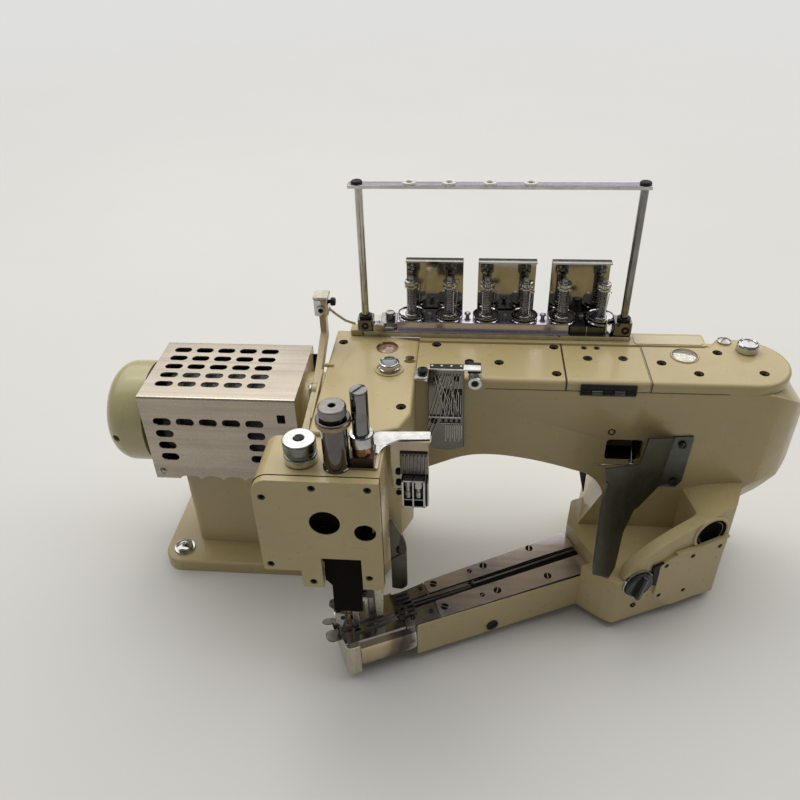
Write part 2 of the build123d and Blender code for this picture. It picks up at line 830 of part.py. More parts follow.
# Oil sight glasses: a flat one in the block cover, a domed one in the right cover
with BuildPart() as block_window:
    with BuildSketch(Plane.XY.offset(cover_seat - 6)):
        with Locations((window_x, window_y)):
            Circle(window_d / 2)
    extrude(amount=4)
with BuildPart() as dome_glass:
    with BuildSketch(Plane.XY.offset(cover_seat - dome_depth)):
        with Locations((dome_x, dome_y)):
            Circle(dome_d / 2)
    extrude(amount=dome_depth + dome_rise)
    with Locations((dome_x, dome_y, cover_seat + dome_rise - dome_ball_r)):
        Sphere(dome_ball_r, mode=Mode.INTERSECT)
glasses = Compound([block_window.part.solid(), dome_glass.part.solid()])
save(glasses, "sight_glasses")

# Oil filler on the block: a turned cap with a stem in the cover
with BuildPart() as oil_filler:
    with BuildSketch(Plane.XY.offset(cover_seat + lid_gap)):
        with Locations((filler_x, filler_y)):
            Circle(filler_d / 2)
    extrude(amount=8)
    fillet(oil_filler.edges().filter_by(GeomType.CIRCLE).sort_by(Axis.Z)[-1], 1.2)
    with BuildSketch(Plane.XY.offset(cover_seat + lid_gap + 3)):
        with Locations((filler_x, filler_y)):
            Circle(filler_d / 2 + 1)
            Circle(filler_d / 2 - 1.2, mode=Mode.SUBTRACT)
    extrude(amount=1.2, mode=Mode.SUBTRACT)
    with BuildSketch(Plane.XY.offset(cover_seat - cover_thickness + 2)):
        with Locations((filler_x, filler_y)):
            Circle(filler_d / 2 - 3)
    extrude(amount=cover_thickness - 2 + lid_gap)
save(oil_filler.part, "oil_filler_cap")

# Oil cap at the arm's right end
with BuildPart() as oil_cap:
    with BuildSketch(Plane.XY.offset(cover_seat + lid_gap)):
        with Locations((cap_x, cap_y)):
            Circle(cap_d / 2)
    extrude(amount=9)
    fillet(oil_cap.edges().filter_by(GeomType.CIRCLE).sort_by(Axis.Z)[-1], 2)
    with BuildSketch(Plane.XY.offset(cover_seat - cover_thickness + 3)):
        with Locations((cap_x, cap_y)):
            Circle(cap_stem_d / 2)
    extrude(amount=cover_thickness - 3 + lid_gap)
save(oil_cap.part, "oil_cap")


def socket_screw(x, y, base):
    """A socket head that stands on base at x, y, with its six sided recess."""
    with BuildPart() as screw:
        with BuildSketch(Plane.XY.offset(base)):
            with Locations((x, y)):
                Circle(screw_head_d / 2)
        extrude(amount=screw_head_height)
        with BuildSketch(Plane.XY.offset(base + screw_head_height)):
            with Locations((x, y)):
                RegularPolygon(1.9, 6)
        extrude(amount=-1.6, mode=Mode.SUBTRACT)
    return screw.part.solid()


top_sites = block_screws + left_screws + right_screws
top_screws = [socket_screw(x, y, cover_seat - screw_hole_depth) for x, y in top_sites]
save(Compound(top_screws), "top_cover_screws")

# Feed arm: slim casting with a channel along its top for the feeding gear
with BuildPart() as feed_arm:
    with BuildSketch(feed_plane.offset(feed_bottom)):
        Polygon(
            (looper_end, 0),
            (feed_length, 0),
            (feed_length, feed_root_width),
            (looper_end, feed_width),
            align=None,
        )
    extrude(amount=plate_seat - feed_bottom)
    with BuildSketch(feed_plane.offset(feed_bottom + 3)):
        Polygon(
            (cap_length, 14),
            (looper_end, 14),
            (looper_end, feed_width - 3),
            (cap_length, feed_width - 3),
            align=None,
        )
    extrude(amount=plate_seat - feed_bottom - 3)
    with BuildSketch(feed_plane.offset(plate_seat)):
        Polygon(
            (looper_end + 10, 20),
            (feed_length - 8, 27),
            (feed_length - 8, 33),
            (looper_end + 10, 31),
            align=None,
        )
    extrude(amount=-14, mode=Mode.SUBTRACT)
    with BuildSketch(feed_plane.offset(plate_seat)):
        with Locations((cap_length + 16, needle_across)):
            Rectangle(33, 20)
    extrude(amount=-26, mode=Mode.SUBTRACT)
save(feed_arm.part, "feed_arm")

# End cap of the feed arm
with BuildPart() as feed_end_cap:
    with BuildSketch(feed_plane.offset(feed_bottom)):
        with BuildLine():
            FilletPolyline(
                (cap_length, 0), (0, 0), (0, feed_width), (cap_length, feed_width), radius=5
            )
            Line((cap_length, feed_width), (cap_length, 0))
        make_face()
    extrude(amount=plate_seat - feed_bottom)
    with BuildSketch(feed_plane.offset(plate_seat)):
        with Locations((cap_length, needle_across)):
            Rectangle(8, 16)
    extrude(amount=-20, mode=Mode.SUBTRACT)
save(feed_end_cap.part, "feed_end_cap")

# Looper cover: curved polished sheet on the needle side of the feed arm
looper_plane = Plane(
    origin=feed_point(cap_length + lid_gap, 0), x_dir=feed_across, z_dir=feed_direction
)
with BuildPart() as looper_cover:
    with BuildSketch(looper_plane):
        with BuildLine() as looper_line:
            ThreePointArc((13.5, plate_seat - 0.3), (0.5, plate_seat - 9), (0.3, 25))
            ThreePointArc((0.3, 25), (2.2, 13), (8, feed_bottom))
            offset(amount=sheet, side=Side.LEFT)
        make_face()
    extrude(amount=looper_length - 2 * lid_gap)
save(looper_cover.part, "looper_cover")

# Needle plate, with its row of needle holes and the feed dog slots
dog_length = 22.0
dog_width = 4.0
dog_gap = 3.0
needle_span = 9.0
with BuildPart() as needle_plate:
    with BuildSketch(feed_plane.offset(plate_seat)):
        with BuildLine():
            FilletPolyline(
                (needle_plate_length, 4),
                (0, 4),
                (0, feed_width),
                (needle_plate_length, feed_width),
                radius=4,
            )
            Line((needle_plate_length, feed_width), (needle_plate_length, 4))
        make_face()
    extrude(amount=plate_thickness)
    with BuildSketch(feed_plane.offset(plate_seat)):
        with Locations((needle_along, needle_across)):
            SlotOverall(needle_span, 3, rotation=90)
        for side in (-1, 1):
            with Locations((needle_along + 16, needle_across + side * dog_gap)):
                Rectangle(dog_length, dog_width)
    extrude(amount=plate_thickness, mode=Mode.SUBTRACT)
save(needle_plate.part, "needle_plate")


def arm_plate(corners, holes):
    """A polished bearing plate on the feed arm with counterbored screw holes."""
    with BuildPart() as plate:
        with BuildSketch(feed_plane.offset(plate_seat)):
            Polygon(*corners, align=None)
        extrude(amount=plate_thickness)
        chamfer(plate.faces().sort_by(Axis.Z)[-1].edges(), 0.4)
        with BuildSketch(feed_plane.offset(feed_top)):
            with Locations(*holes):
                Circle(2.9)
        extrude(amount=-2, mode=Mode.SUBTRACT)
    return plate.part


front_plate_holes = ((101, 12), (155, 13), (209, 13))
rear_plate_holes = ((101, 40.5), (156, 44), (215, 47))
front_corners = (
    (plates_start, front_plate_edge),
    (plates_end, front_plate_edge),
    (plates_end, 26),
    (plates_start, 19),
)
rear_corners = (
    (plates_start, rear_plate_edge),
    (plates_end, rear_plate_edge + 1.5),
    (plates_end, feed_root_width - 1),
    (plates_start, feed_width),
)
save(arm_plate(front_corners, front_plate_holes), "front_arm_plate")
save(arm_plate(rear_corners, rear_plate_holes), "rear_arm_plate")

# Short filler plates between the needle plate and the long plates
fill_start = needle_plate_length + 0.5
fill_end = plates_start - 0.5
fill_plates = [
    arm_plate(((fill_start, low), (fill_end, low), (fill_end, high), (fill_start, high)), (spot,))
    for low, high, spot in ((3, 20, (84, 12)), (32, 45, (82, 39)))
]
save(Compound([plate.solid() for plate in fill_plates]), "small_arm_plates")

# Feed dog: two toothed bars that rise through the needle plate
with BuildPart() as feed_dog:
    with BuildSketch(feed_plane.offset(plate_seat - 7)):
        with Locations((needle_along + 16, needle_across)):
            Rectangle(dog_length - 5, 2 * dog_gap + dog_width - 2 * working_gap)
    extrude(amount=4)
    with BuildSketch(feed_plane.offset(plate_seat - 3)):
        for side in (-1, 1):
            with Locations((needle_along + 16, needle_across + side * dog_gap)):
                Rectangle(dog_length - 5, dog_width - 2 * working_gap)
    extrude(amount=plate_thickness + 3)
save(feed_dog.part, "feed_dog")

# Stitch length dial on the front of the root housing
with BuildPart() as stitch_dial:
    with BuildSketch(dial_face.offset(lid_gap)):
        Circle(dial_d / 2)
    extrude(amount=5)
    fillet(stitch_dial.edges().filter_by(GeomType.CIRCLE).group_by(SortBy.DISTANCE)[-1], 1)
    with BuildSketch(dial_face.offset(lid_gap + 5)):
        SlotOverall(dial_d - 1, 5, rotation=76)
    extrude(amount=5)
    with BuildSketch(dial_face.offset(-8)):
        Circle(dial_stem_d / 2)
    extrude(amount=8 + lid_gap)
save(stitch_dial.part, "stitch_dial")

# Bottom cover: a flat plate screwed over the housing's front
bottom_cover_sheet = 3.0
bottom_cover_left = dial_along + 21.0
bottom_cover_right = housing_end - 3.0
bottom_cover_low = foot_height + 3
bottom_cover_high = plug_height - plug_d / 2 + 2.5
bottom_cover_screws = (
    (bottom_cover_left + 7, bottom_cover_high - 14),
    (bottom_cover_left + 36, bottom_cover_high - 11.5),
    (bottom_cover_right - 7, bottom_cover_high - 9),
    (bottom_cover_left + 35, bottom_cover_low + 17),
    (bottom_cover_left + 6, bottom_cover_low + 21),
)
with BuildPart() as bottom_cover:
    with BuildSketch(shoulder_side.offset(housing_reach)):
        with BuildLine():
            FilletPolyline(
                (bottom_cover_left, bottom_cover_high - 12),
                (bottom_cover_left, bottom_cover_low + 24),
                (bottom_cover_left + 10, bottom_cover_low + 11),
                (bottom_cover_left + 23, bottom_cover_low),
                (bottom_cover_right - 15, bottom_cover_low + 3),
                (bottom_cover_right - 3, bottom_cover_low + 13),
                (bottom_cover_right, bottom_cover_high),
                (bottom_cover_left + 16, bottom_cover_high - 3),
                radius=3,
                close=True,
            )
        make_face()
    extrude(amount=bottom_cover_sheet)
    with BuildSketch(shoulder_side.offset(housing_reach + bottom_cover_sheet)):
        with Locations(*bottom_cover_screws):
            Circle(2.6)
    extrude(amount=-1.4, mode=Mode.SUBTRACT)
save(bottom_cover.part, "bottom_cover")

# Guard plate: a bracket on the body, a fin folded off it and a strip bent down to the housing
guard_sheet = 2.0
guard_face = arm_front - guard_sheet
guard_high = 182.0
guard_low = 121.0
fold_top = Vector(throat_right + 55, guard_face, guard_high)
fold_low = Vector(throat_right + 49, guard_face, guard_low)
crease_top = Vector(throat_right - 8, guard_face - 39, guard_high - 23)
crease_low = Vector(throat_right + 28, guard_face - 12, guard_high - 79)
strip_foot = Vector(throat_right - 7, guard_face - 76, housing_top + 9.5)
fold_line = (fold_low - fold_top).normalized()
crease_line = (crease_low - crease_top).normalized()
fin_normal = fold_line.cross(fold_top - crease_low).normalized()
strip_normal = crease_line.cross(crease_top - strip_foot).normalized()
fin_plane = Plane(origin=fold_top, x_dir=fold_line, z_dir=fin_normal)
strip_plane = Plane(origin=crease_top, x_dir=crease_line, z_dir=strip_normal)
guard_screws = ((fold_top.X + 10, guard_high - 8), (fold_low.X + 15.5, guard_low + 8))
with BuildPart() as guard_plate:
    with BuildSketch(Plane.XZ.offset(-arm_front)):
        with BuildLine():
            FilletPolyline(
                (fold_top.X, guard_high),
                (fold_top.X + 19.5, guard_high + 1.5),
                (fold_top.X + 17.5, guard_low + 8),
                (fold_top.X + 13, guard_low + 0.5),
                (fold_low.X, guard_low),
                radius=1.5,
            )
            Line((fold_low.X, guard_low), (fold_top.X, guard_high))
        make_face()
    extrude(amount=guard_sheet)
    with BuildSketch(fin_plane):
        Polygon(
            (0, 1.5),
            (-9.5, -33.5),
            (21, -34.5),
            (11.5, -78),
            (29.5, -73),
            (82.5, -22),
            (81, -17),
            (61, 1.5),
            align=None,
        )
    extrude(amount=guard_sheet)
    with BuildSketch(strip_plane):
        Polygon(
            (0, 0.5),
            (2.5, -17),
            (26.5, -69.5),
            (33.5, -79.5),
            (65.5, -73.5),
            (72, -61),
            (65, -28),
            (72.5, 0.5),
            align=None,
        )
    extrude(amount=guard_sheet)
    with BuildSketch(Plane.XZ.offset(guard_sheet - arm_front)):
        with Locations(*guard_screws):
            Circle(3.4)
    extrude(amount=2.4)
save(guard_plate.part, "guard_plate")

# Head casting: a box open to the front, bored for the needle bar and the presser bar
head_back = block_front
head_casting_front = head_front + face_thickness
lift_stem_d = 8.0
with BuildPart() as head_casting:
    with BuildSketch(Plane.XZ.offset(-head_back)):
        with BuildLine():
            Polyline(
                (head_left, head_top - face_corner),
                (head_left, head_bottom),
                (head_right, head_bottom),
                (head_right, head_top),
                (head_left + face_corner, head_top),
            )
            RadiusArc(
                (head_left + face_corner, head_top), (head_left, head_top - face_corner), -face_corner
            )
        make_face()
    extrude(amount=head_back - head_casting_front)
    with BuildSketch(Plane.XZ.offset(-head_casting_front)):
        with Locations(((head_left + head_right) / 2, (head_bottom + head_top) / 2)):
            RectangleRounded(
                head_right - head_left - 2 * head_wall, head_top - head_bottom - 2 * head_wall, 6
            )
    extrude(amount=head_casting_front - head_back + head_wall, mode=Mode.SUBTRACT)
    with BuildSketch(Plane.XY.offset(head_bottom - 1)):
        with Locations((needle_x, needle_y)):
            Circle(needle_bar_d / 2 + running_gap)
        with Locations((presser_x, presser_y)):
            Circle(presser_bar_d / 2 + running_gap)
    extrude(amount=head_top - head_bottom + 2, mode=Mode.SUBTRACT)
    with BuildSketch(Plane.XY.offset(head_top + 1)):
        with Locations((knob_x, knob_y)):
            Circle(lift_stem_d / 2 + running_gap)
    extrude(amount=-head_wall - 2, mode=Mode.SUBTRACT)
save(head_casting.part, "head_casting")

# Face plate of the head, with two round windows and the notch over the needles
notch_left = needle_x - 17
notch_right = needle_x + 17
notch_top = face_bottom + notch_height
tab_left = notch_left - 18
face_windows = (
    (head_left + 56.5, head_top - 44, 12.7),
    (head_right - 13, head_top - 53.4, 9.0),
)
face_screws = (
    (head_left + 8, head_top - 18),
    (head_left + 49, head_top - 7),
    (head_right - 9, head_top - 7),
    (head_left + 6.5, head_bottom + 10),
    (tab_left + 9.5, face_bottom + 7),
    (head_right - 12, face_bottom + 14),
)
with BuildPart() as face_plate:
    with BuildSketch(Plane.XZ.offset(-head_casting_front)):
        with BuildLine():
            Polyline(
                (head_left, head_top - face_corner),
                (head_left, head_bottom + 3),
                (tab_left, head_bottom + 3),
                (tab_left, face_bottom),
                (notch_left, face_bottom),
                (notch_left, notch_top),
                (notch_right, notch_top),
                (notch_right, face_bottom),
                (head_right, face_bottom),
                (head_right, head_top),
                (head_left + face_corner, head_top),
            )
            RadiusArc(
                (head_left + face_corner, head_top), (head_left, head_top - face_corner), -face_corner
            )
        make_face()
        for x, z, radius in face_windows:
            with Locations((x, z)):
                Circle(radius, mode=Mode.SUBTRACT)
    extrude(amount=face_thickness)
    with BuildSketch(Plane.XZ.offset(-head_front)):
        with Locations(*face_screws):
            Circle(3.2)
    extrude(amount=-3, mode=Mode.SUBTRACT)
save(face_plate.part, "face_plate")


def turned(x, y, steps, bore=0.0):
    """A turned piece on an upright axis, from steps of radius, bottom and top."""
    with BuildPart() as piece:
        for radius, low, high in steps:
            with BuildSketch(Plane.XY.offset(low)):
                with Locations((x, y)):
                    Circle(radius)
                    if bore:
                        Circle(bore, mode=Mode.SUBTRACT)
            extrude(amount=high - low)
    return piece.part


# Needle bar, the clamp that holds the needles in a row, and the needles
needle_tip = 55.0
needle_top = 84.0
needle_r = 0.6
needle_pitch = 2.0
needle_count = 4
clamp_height = 14.0
bar_bottom = needle_top + 6.0
bar_top = head_top + 26.0
save(turned(needle_x, needle_y, ((needle_bar_d / 2, bar_bottom, bar_top),)), "needle_bar")
with BuildPart() as needle_clamp:
    with BuildSketch(feed_plane.offset(needle_top)):
        with Locations((needle_along, needle_across)):
            RectangleRounded(10, 17, 1.5)
    extrude(amount=clamp_height)
    with BuildSketch(Plane.XY.offset(bar_bottom)):
        with Locations((needle_x, needle_y)):
            Circle(needle_bar_d / 2)
    extrude(amount=clamp_height, mode=Mode.SUBTRACT)
save(needle_clamp.part, "needle_clamp")
needle_set = []
for index in range(needle_count):
    across = needle_across + (index - (needle_count - 1) / 2) * needle_pitch
    place = feed_point(needle_along, across)
    with BuildPart() as needle:
        with BuildSketch(Plane.XY.offset(needle_top)):
            with Locations((place.X, place.Y)):
                Circle(needle_r)
        extrude(amount=needle_tip + 4 - needle_top)
        with BuildSketch(Plane.XY.offset(needle_tip + 4)):
            with Locations((place.X, place.Y)):
                Circle(needle_r)
        extrude(amount=-4, taper=6)
    needle_set.append(needle.part.solid())
save(Compound(needle_set), "needles")

# Needle shield: dark plate under the face plate's notch
shield_sheet = 1.5
with BuildPart() as needle_shield:
    with BuildSketch(Plane.XZ.offset(-head_casting_front)):
        Polygon(
            (notch_left + 4, notch_top - 7),
            (notch_right - 2, notch_top - 7),
            (notch_right - 4.5, needle_top - 5),
            (notch_left + 7, needle_top - 5),
            align=None,
        )
    extrude(amount=shield_sheet)
save(needle_shield.part, "needle_shield")

# Presser bar and foot: the sole lies over the feed dog, the ankle clamps on the bar
foot_sole = feed_top + lid_gap
ankle_low = 62.0
ankle_top = 78.0
sole_thickness = 3.5
sole_width = 18.0
save(turned(presser_x, presser_y, ((presser_bar_d / 2, ankle_low, bar_top),)), "presser_bar")
with BuildPart() as presser_foot:
    with BuildSketch(feed_plane.offset(foot_sole)):
        with BuildLine():
            FilletPolyline(
                (presser_along + 7, presser_across - sole_width / 2),
                (2, presser_across - sole_width / 2),
                (2, presser_across + sole_width / 2),
                (presser_along + 7, presser_across + sole_width / 2),
                radius=3,
            )
            Line(
                (presser_along + 7, presser_across + sole_width / 2),
                (presser_along + 7, presser_across - sole_width / 2),
            )
        make_face()
        with Locations((needle_along, needle_across)):
            SlotOverall(needle_span, 4, rotation=90, mode=Mode.SUBTRACT)
    extrude(amount=sole_thickness)
    with BuildSketch(feed_plane.offset(foot_sole + sole_thickness)):
        with Locations((presser_along, presser_across)):
            RectangleRounded(13, 14, 2)
    extrude(amount=ankle_top - foot_sole - sole_thickness)
    with BuildSketch(Plane.XY.offset(ankle_low)):
        with Locations((presser_x, presser_y)):
            Circle(presser_bar_d / 2)
    extrude(amount=ankle_top, mode=Mode.SUBTRACT)
save(presser_foot.part, "presser_foot")

# Polished guard tube over the needle bar, with its knurled top
bar_clearance = 1.0
tube_top = head_top + 35.0
tube_collar = 5.0
tube_neck = 6.0
knurl_height = 13.0
guard_steps = (
    (10.5, head_top, tube_top),
    (13.8, tube_top, tube_top + tube_collar),
    (8.5, tube_top + tube_collar, tube_top + tube_collar + tube_neck),
    (
        11.0,
        tube_top + tube_collar + tube_neck,
        tube_top + tube_collar + tube_neck + knurl_height,
    ),
)
needle_bar_guard = turned(needle_x, needle_y, guard_steps, needle_bar_d / 2 + bar_clearance)
save(needle_bar_guard, "needle_bar_guard")

# Bracket on the head: a pad under the pressure regulator, an arm and a hanging flange
bracket_sheet = 2.0
bracket_top = head_top + bracket_sheet
flange_left = head_right + 4
flange_right = flange_left + 32
flange_y = head_back - 6
flange_low = head_top - 50
with BuildPart() as head_bracket:
    with BuildSketch(Plane.XY.offset(head_top)):
        with BuildLine():
            FilletPolyline(
                (presser_x - 7.5, head_back - 2),
                (presser_x - 7.5, presser_y - 14),
                (presser_x + 13.5, presser_y - 14),
                (presser_x + 13.5, presser_y + 15),
                (flange_left, flange_y),
                (flange_right + 2, flange_y),
                (flange_right + 2, flange_y + 10),
                (flange_left - 3, flange_y + 10),
                (presser_x + 4.5, head_back - 2),
                (presser_x - 7.5, head_back - 2),
                radius=2,
                close=True,
            )
        make_face()
        with Locations((presser_x, presser_y)):
            Circle(presser_bar_d / 2 + working_gap, mode=Mode.SUBTRACT)
    extrude(amount=bracket_sheet)
    with BuildSketch(Plane.XZ.offset(-flange_y)):
        with BuildLine():
            FilletPolyline(
                (flange_left, bracket_top),
                (flange_left, flange_low),
                (flange_right, flange_low),
                (flange_right, bracket_top),
                radius=6,
            )
            Line((flange_right, bracket_top), (flange_left, bracket_top))
        make_face()
    extrude(amount=-bracket_sheet)
save(head_bracket.part, "head_bracket")

# Thread guide box that hangs on the bracket
box_x = flange_left + 19
box_z = flange_low - 2
box_width = 26.0
box_height = 28.0
box_depth = 8.0
with BuildPart() as guide_box:
    with BuildSketch(Plane.XZ.offset(-flange_y)):
        with Locations((box_x, box_z)):
            RectangleRounded(box_width, box_height, 3)
    extrude(amount=box_depth)
    with BuildSketch(Plane.XZ.offset(box_depth - flange_y)):
        with Locations((box_x, box_z)):
            with GridLocations(7, 1, 3, 1):
                SlotOverall(box_height - 6, 3, rotation=90)
    extrude(amount=2 - box_depth, mode=Mode.SUBTRACT)
save(guide_box.part, "guide_box")

# Pressure regulator: brass seat and the long screw that loads the presser bar
seat_rim_top = bracket_top + 6.0
seat_top = seat_rim_top + 8.0
seat_steps = ((9.5, bracket_top, seat_rim_top), (9.0, seat_rim_top, seat_top))
seat_bore = presser_bar_d / 2 + working_gap
save(turned(presser_x, presser_y, seat_steps, seat_bore), "regulator_seat")
regulator_low = seat_top + lid_gap
regulator_collar_top = seat_top + 11.0
regulator_top = seat_top + 52.0
regulator_steps = (
    (10.0, regulator_low, regulator_collar_top),
    (7.0, regulator_collar_top, regulator_top),
)
with BuildPart() as regulator_screw:
    add(turned(presser_x, presser_y, regulator_steps))
    with BuildSketch(Plane.XY.offset(regulator_low)):
        with Locations((presser_x, presser_y)):
            Circle(presser_bar_d / 2 + working_gap)
    extrude(amount=bar_top + 10 - regulator_low, mode=Mode.SUBTRACT)
    with BuildSketch(Plane.XY.offset(regulator_top)):
        with Locations((presser_x, presser_y)):
            Rectangle(15, 2)
    extrude(amount=-2.5, mode=Mode.SUBTRACT)
save(regulator_screw.part, "regulator_screw")

# Lift limit knob: two stacked discs with a socket
knob_low = head_top + lid_gap
knob_groove = head_top + 9.0
knob_top = head_top + 22.0
with BuildPart() as lift_knob:
    knob_steps = (
        (lift_stem_d / 2, head_top - head_wall - 2, knob_low),
        (13.5, knob_low, knob_groove),
        (12.0, knob_groove, knob_groove + 2),
        (13.5, knob_groove + 2, knob_top),
    )
    add(turned(knob_x, knob_y, knob_steps))
    with BuildSketch(Plane.XY.offset(knob_top)):
        with Locations((knob_x, knob_y)):
            RegularPolygon(4, 6)
    extrude(amount=-5, mode=Mode.SUBTRACT)
save(lift_knob.part, "lift_limit_knob")

# Lifter lever on its pivot: long front arm, hub, and the upright end with its block
lever_plane = Plane(
    origin=(lever_x - lever_thickness / 2, 0, 0), x_dir=(0, 1, 0), z_dir=(1, 0, 0)
)
with BuildPart() as lift_lever:
    with BuildSketch(lever_plane):
        Polygon(
            (lever_front, pivot_z - 11),
            (pivot_y, pivot_z - 5),
            (lever_back, pivot_z + 22),
            (lever_back, lever_top - 16),
            (lever_back - 10, lever_top - 16),
            (lever_back - 10, pivot_z + 31),
            (pivot_y, pivot_z + 6),
            (lever_front, pivot_z - 2),
            align=None,
        )
        with Locations((pivot_y, pivot_z)):
            Circle(pivot_d / 2 + 5)
    extrude(amount=lever_thickness)
    with BuildSketch(Plane.XY.offset(lever_top - lever_block)):
        with Locations((lever_x, lever_back - 6)):
            RectangleRounded(2 * lever_thickness, 14, 2)
    extrude(amount=lever_block)
    with BuildSketch(lever_plane):
        with Locations((pivot_y, pivot_z)):
            Circle(pivot_d / 2 + running_gap)
    extrude(amount=lever_thickness, mode=Mode.SUBTRACT)
save(lift_lever.part, "lift_lever")

# Thread guide plate in front of the arm: slotted lip, long plate and a tab on the cover
guide_plate_left = block_right + 12
guide_plate_right = guide_plate_left + 36
guide_plate_top = cover_seat + 12
guide_plate_low = cover_seat - 72
guide_lip_length = 12.0
guide_tab_back = -13.0
guide_plate_mid = (guide_plate_left + guide_plate_right) / 2
guide_plate_y = arm_front - 3.0
with BuildPart() as thread_guide_plate:
    with BuildSketch(Plane.XZ.offset(-guide_plate_y)):
        Polygon(
            (guide_plate_left, guide_plate_top),
            (guide_plate_left, guide_plate_low + 32),
            (guide_plate_left + 4, guide_plate_low),
            (guide_plate_right - 7, guide_plate_low),
            (guide_plate_right, guide_plate_low + 32),
            (guide_plate_right, guide_plate_top),
            align=None,
        )
    extrude(amount=sheet)
    with BuildSketch(Plane.XY.offset(guide_plate_top - sheet)):
        with Locations((guide_plate_mid, guide_plate_y - guide_lip_length / 2)):
            Rectangle(guide_plate_right - guide_plate_left, guide_lip_length)
            with GridLocations(8, 1, 4, 1):
                SlotOverall(8, 3, rotation=90, mode=Mode.SUBTRACT)
    extrude(amount=sheet)
    with BuildSketch(Plane.XY.offset(cover_seat)):
        with Locations((guide_plate_mid, (guide_plate_y + guide_tab_back) / 2)):
            Rectangle(guide_plate_right - guide_plate_left, guide_tab_back - guide_plate_y)
    extrude(amount=sheet)
save(thread_guide_plate.part, "thread_guide_plate")

# Tension rail: flat bar over the arm's rib that carries the posts and the guide rods
with BuildPart() as tension_rail:
    with BuildSketch(Plane.XY.offset(cover_seat)):
        with Locations(((rail_left + rail_right) / 2, rail_front + rail_width / 2)):
            RectangleRounded(rail_right - rail_left, rail_width, 3)
    extrude(amount=rail_thickness)
    with BuildSketch(Plane.XY.offset(rail_top)):
        for rod_x in (rod_left_x, rod_right_x):
            with Locations((rod_x, rod_y)):
                Circle(rod_d / 2 + 3)
        with Locations(*[(x, post_y) for x in post_xs]):
            Circle(7)
    extrude(amount=boss_height)
    with BuildSketch(Plane.XY.offset(rail_top)):
        for rod_x in (rod_left_x, rod_right_x):
            with Locations((rod_x, rod_y)):
                Circle(rod_d / 2)
    extrude(amount=boss_height, mode=Mode.SUBTRACT)
save(tension_rail.part, "tension_rail")

# Posts, discs, springs and nuts of the six tensions
disc_low = rail_top + boss_height
spring_low = disc_low + disc_height + spring_gap
nut_low = spring_low + spring_length + spring_gap
post_radius = post_d / 2
post_top = disc_low + post_length
posts = [turned(x, post_y, ((post_radius, disc_low, post_top),)).solid() for x in post_xs]
save(Compound(posts), "tension_posts")

disc_set = []
for x in post_xs:
    for low in (disc_low, disc_low + disc_height / 2 + 0.1):
        rim_top = low + disc_height / 2 - 0.1
        disc = turned(x, post_y, ((disc_d / 2, low, rim_top),), post_radius)
        disc_set.append(disc.solid())
save(Compound(disc_set), "tension_discs")

spring_set = []
coil_count = 7
coil_pitch = spring_length / coil_count
for x in post_xs:
    with BuildPart() as spring:
        with BuildSketch(Plane(origin=(x, post_y, 0), x_dir=(1, 0, 0), z_dir=(0, -1, 0))):
            with BuildLine():
                inner = (post_radius + working_gap, spring_low)
                edge = [inner]
                for coil in range(coil_count):
                    base = spring_low + coil * coil_pitch
                    edge.append((spring_d / 2 - 1.2, base))
                    edge.append((spring_d / 2, base + coil_pitch / 2))
                edge.append((spring_d / 2 - 1.2, spring_low + spring_length))
                edge.append((inner[0], spring_low + spring_length))
                Polyline(*edge, inner)
            make_face()
        revolve(axis=Axis((x, post_y, 0), (0, 0, 1)))
    spring_set.append(spring.part.solid())
save(Compound(spring_set), "tension_springs")

for index, x in enumerate(post_xs):
    with BuildPart() as nut:
        with BuildSketch(Plane.XY.offset(nut_low)):
            with Locations((x, post_y)):
                RegularPolygon(nut_d / 2, 18)
                Circle(post_radius + running_gap, mode=Mode.SUBTRACT)
        extrude(amount=nut_height * 0.6)
        with BuildSketch(Plane.XY.offset(nut_low + nut_height * 0.6)):
            with Locations((x, post_y)):
                Circle(nut_d / 2 - 1.5)
                Circle(post_radius + running_gap, mode=Mode.SUBTRACT)
        extrude(amount=nut_height * 0.4)
    save(nut.part, f"tension_nut_{index + 1}")

# Three upright guide plates behind the tensions, each with a bent lip
tension_plate_width = 55.8
tension_plate_pitch = 70.3
tension_plate_first = 165.1
tension_plate_y = rail_front + rail_width
tension_plate_top = rail_top + 65.0
tension_plate_set = []
for index in range(3):
    plate_mid = tension_plate_first + index * tension_plate_pitch
    with BuildPart() as tension_plate:
        with BuildSketch(Plane.XZ.offset(sheet - tension_plate_y)):
            with Locations((plate_mid, (rail_top + tension_plate_top) / 2)):
                Rectangle(tension_plate_width, tension_plate_top - rail_top)
        extrude(amount=-sheet)
        with BuildSketch(Plane.XY.offset(tension_plate_top - sheet)):
            with Locations((plate_mid, tension_plate_y - 5)):
                Rectangle(tension_plate_width, 10)
                with GridLocations(tension_plate_width / 2, 1, 2, 1):
                    SlotOverall(6, 3, rotation=90, mode=Mode.SUBTRACT)
        extrude(amount=sheet)
    tension_plate_set.append(tension_plate.part.solid())
save(Compound(tension_plate_set), "tension_plates")

# Guide rods and the eyelet bar on top of them
rods = [
    turned(x, rod_y, ((rod_d / 2, rail_top, rod_top),)).solid()
    for x in (rod_left_x, rod_right_x)
]
save(Compound(rods), "guide_rods")
eyelet_xs = [rod_left_x + 39 + index * 35.6 for index in range(4)]
with BuildPart() as guide_bar:
    with BuildSketch(Plane.XY.offset(rod_top)):
        with Locations(((rod_left_x + rod_right_x) / 2, rod_y)):
            RectangleRounded(rod_right_x - rod_left_x + 2 * bar_overhang, bar_width, 2)
            with Locations(*[(x - (rod_left_x + rod_right_x) / 2, 0) for x in eyelet_xs]):
                Circle(eyelet_d / 2 - 2, mode=Mode.SUBTRACT)
    extrude(amount=bar_thickness)
save(guide_bar.part, "guide_bar")
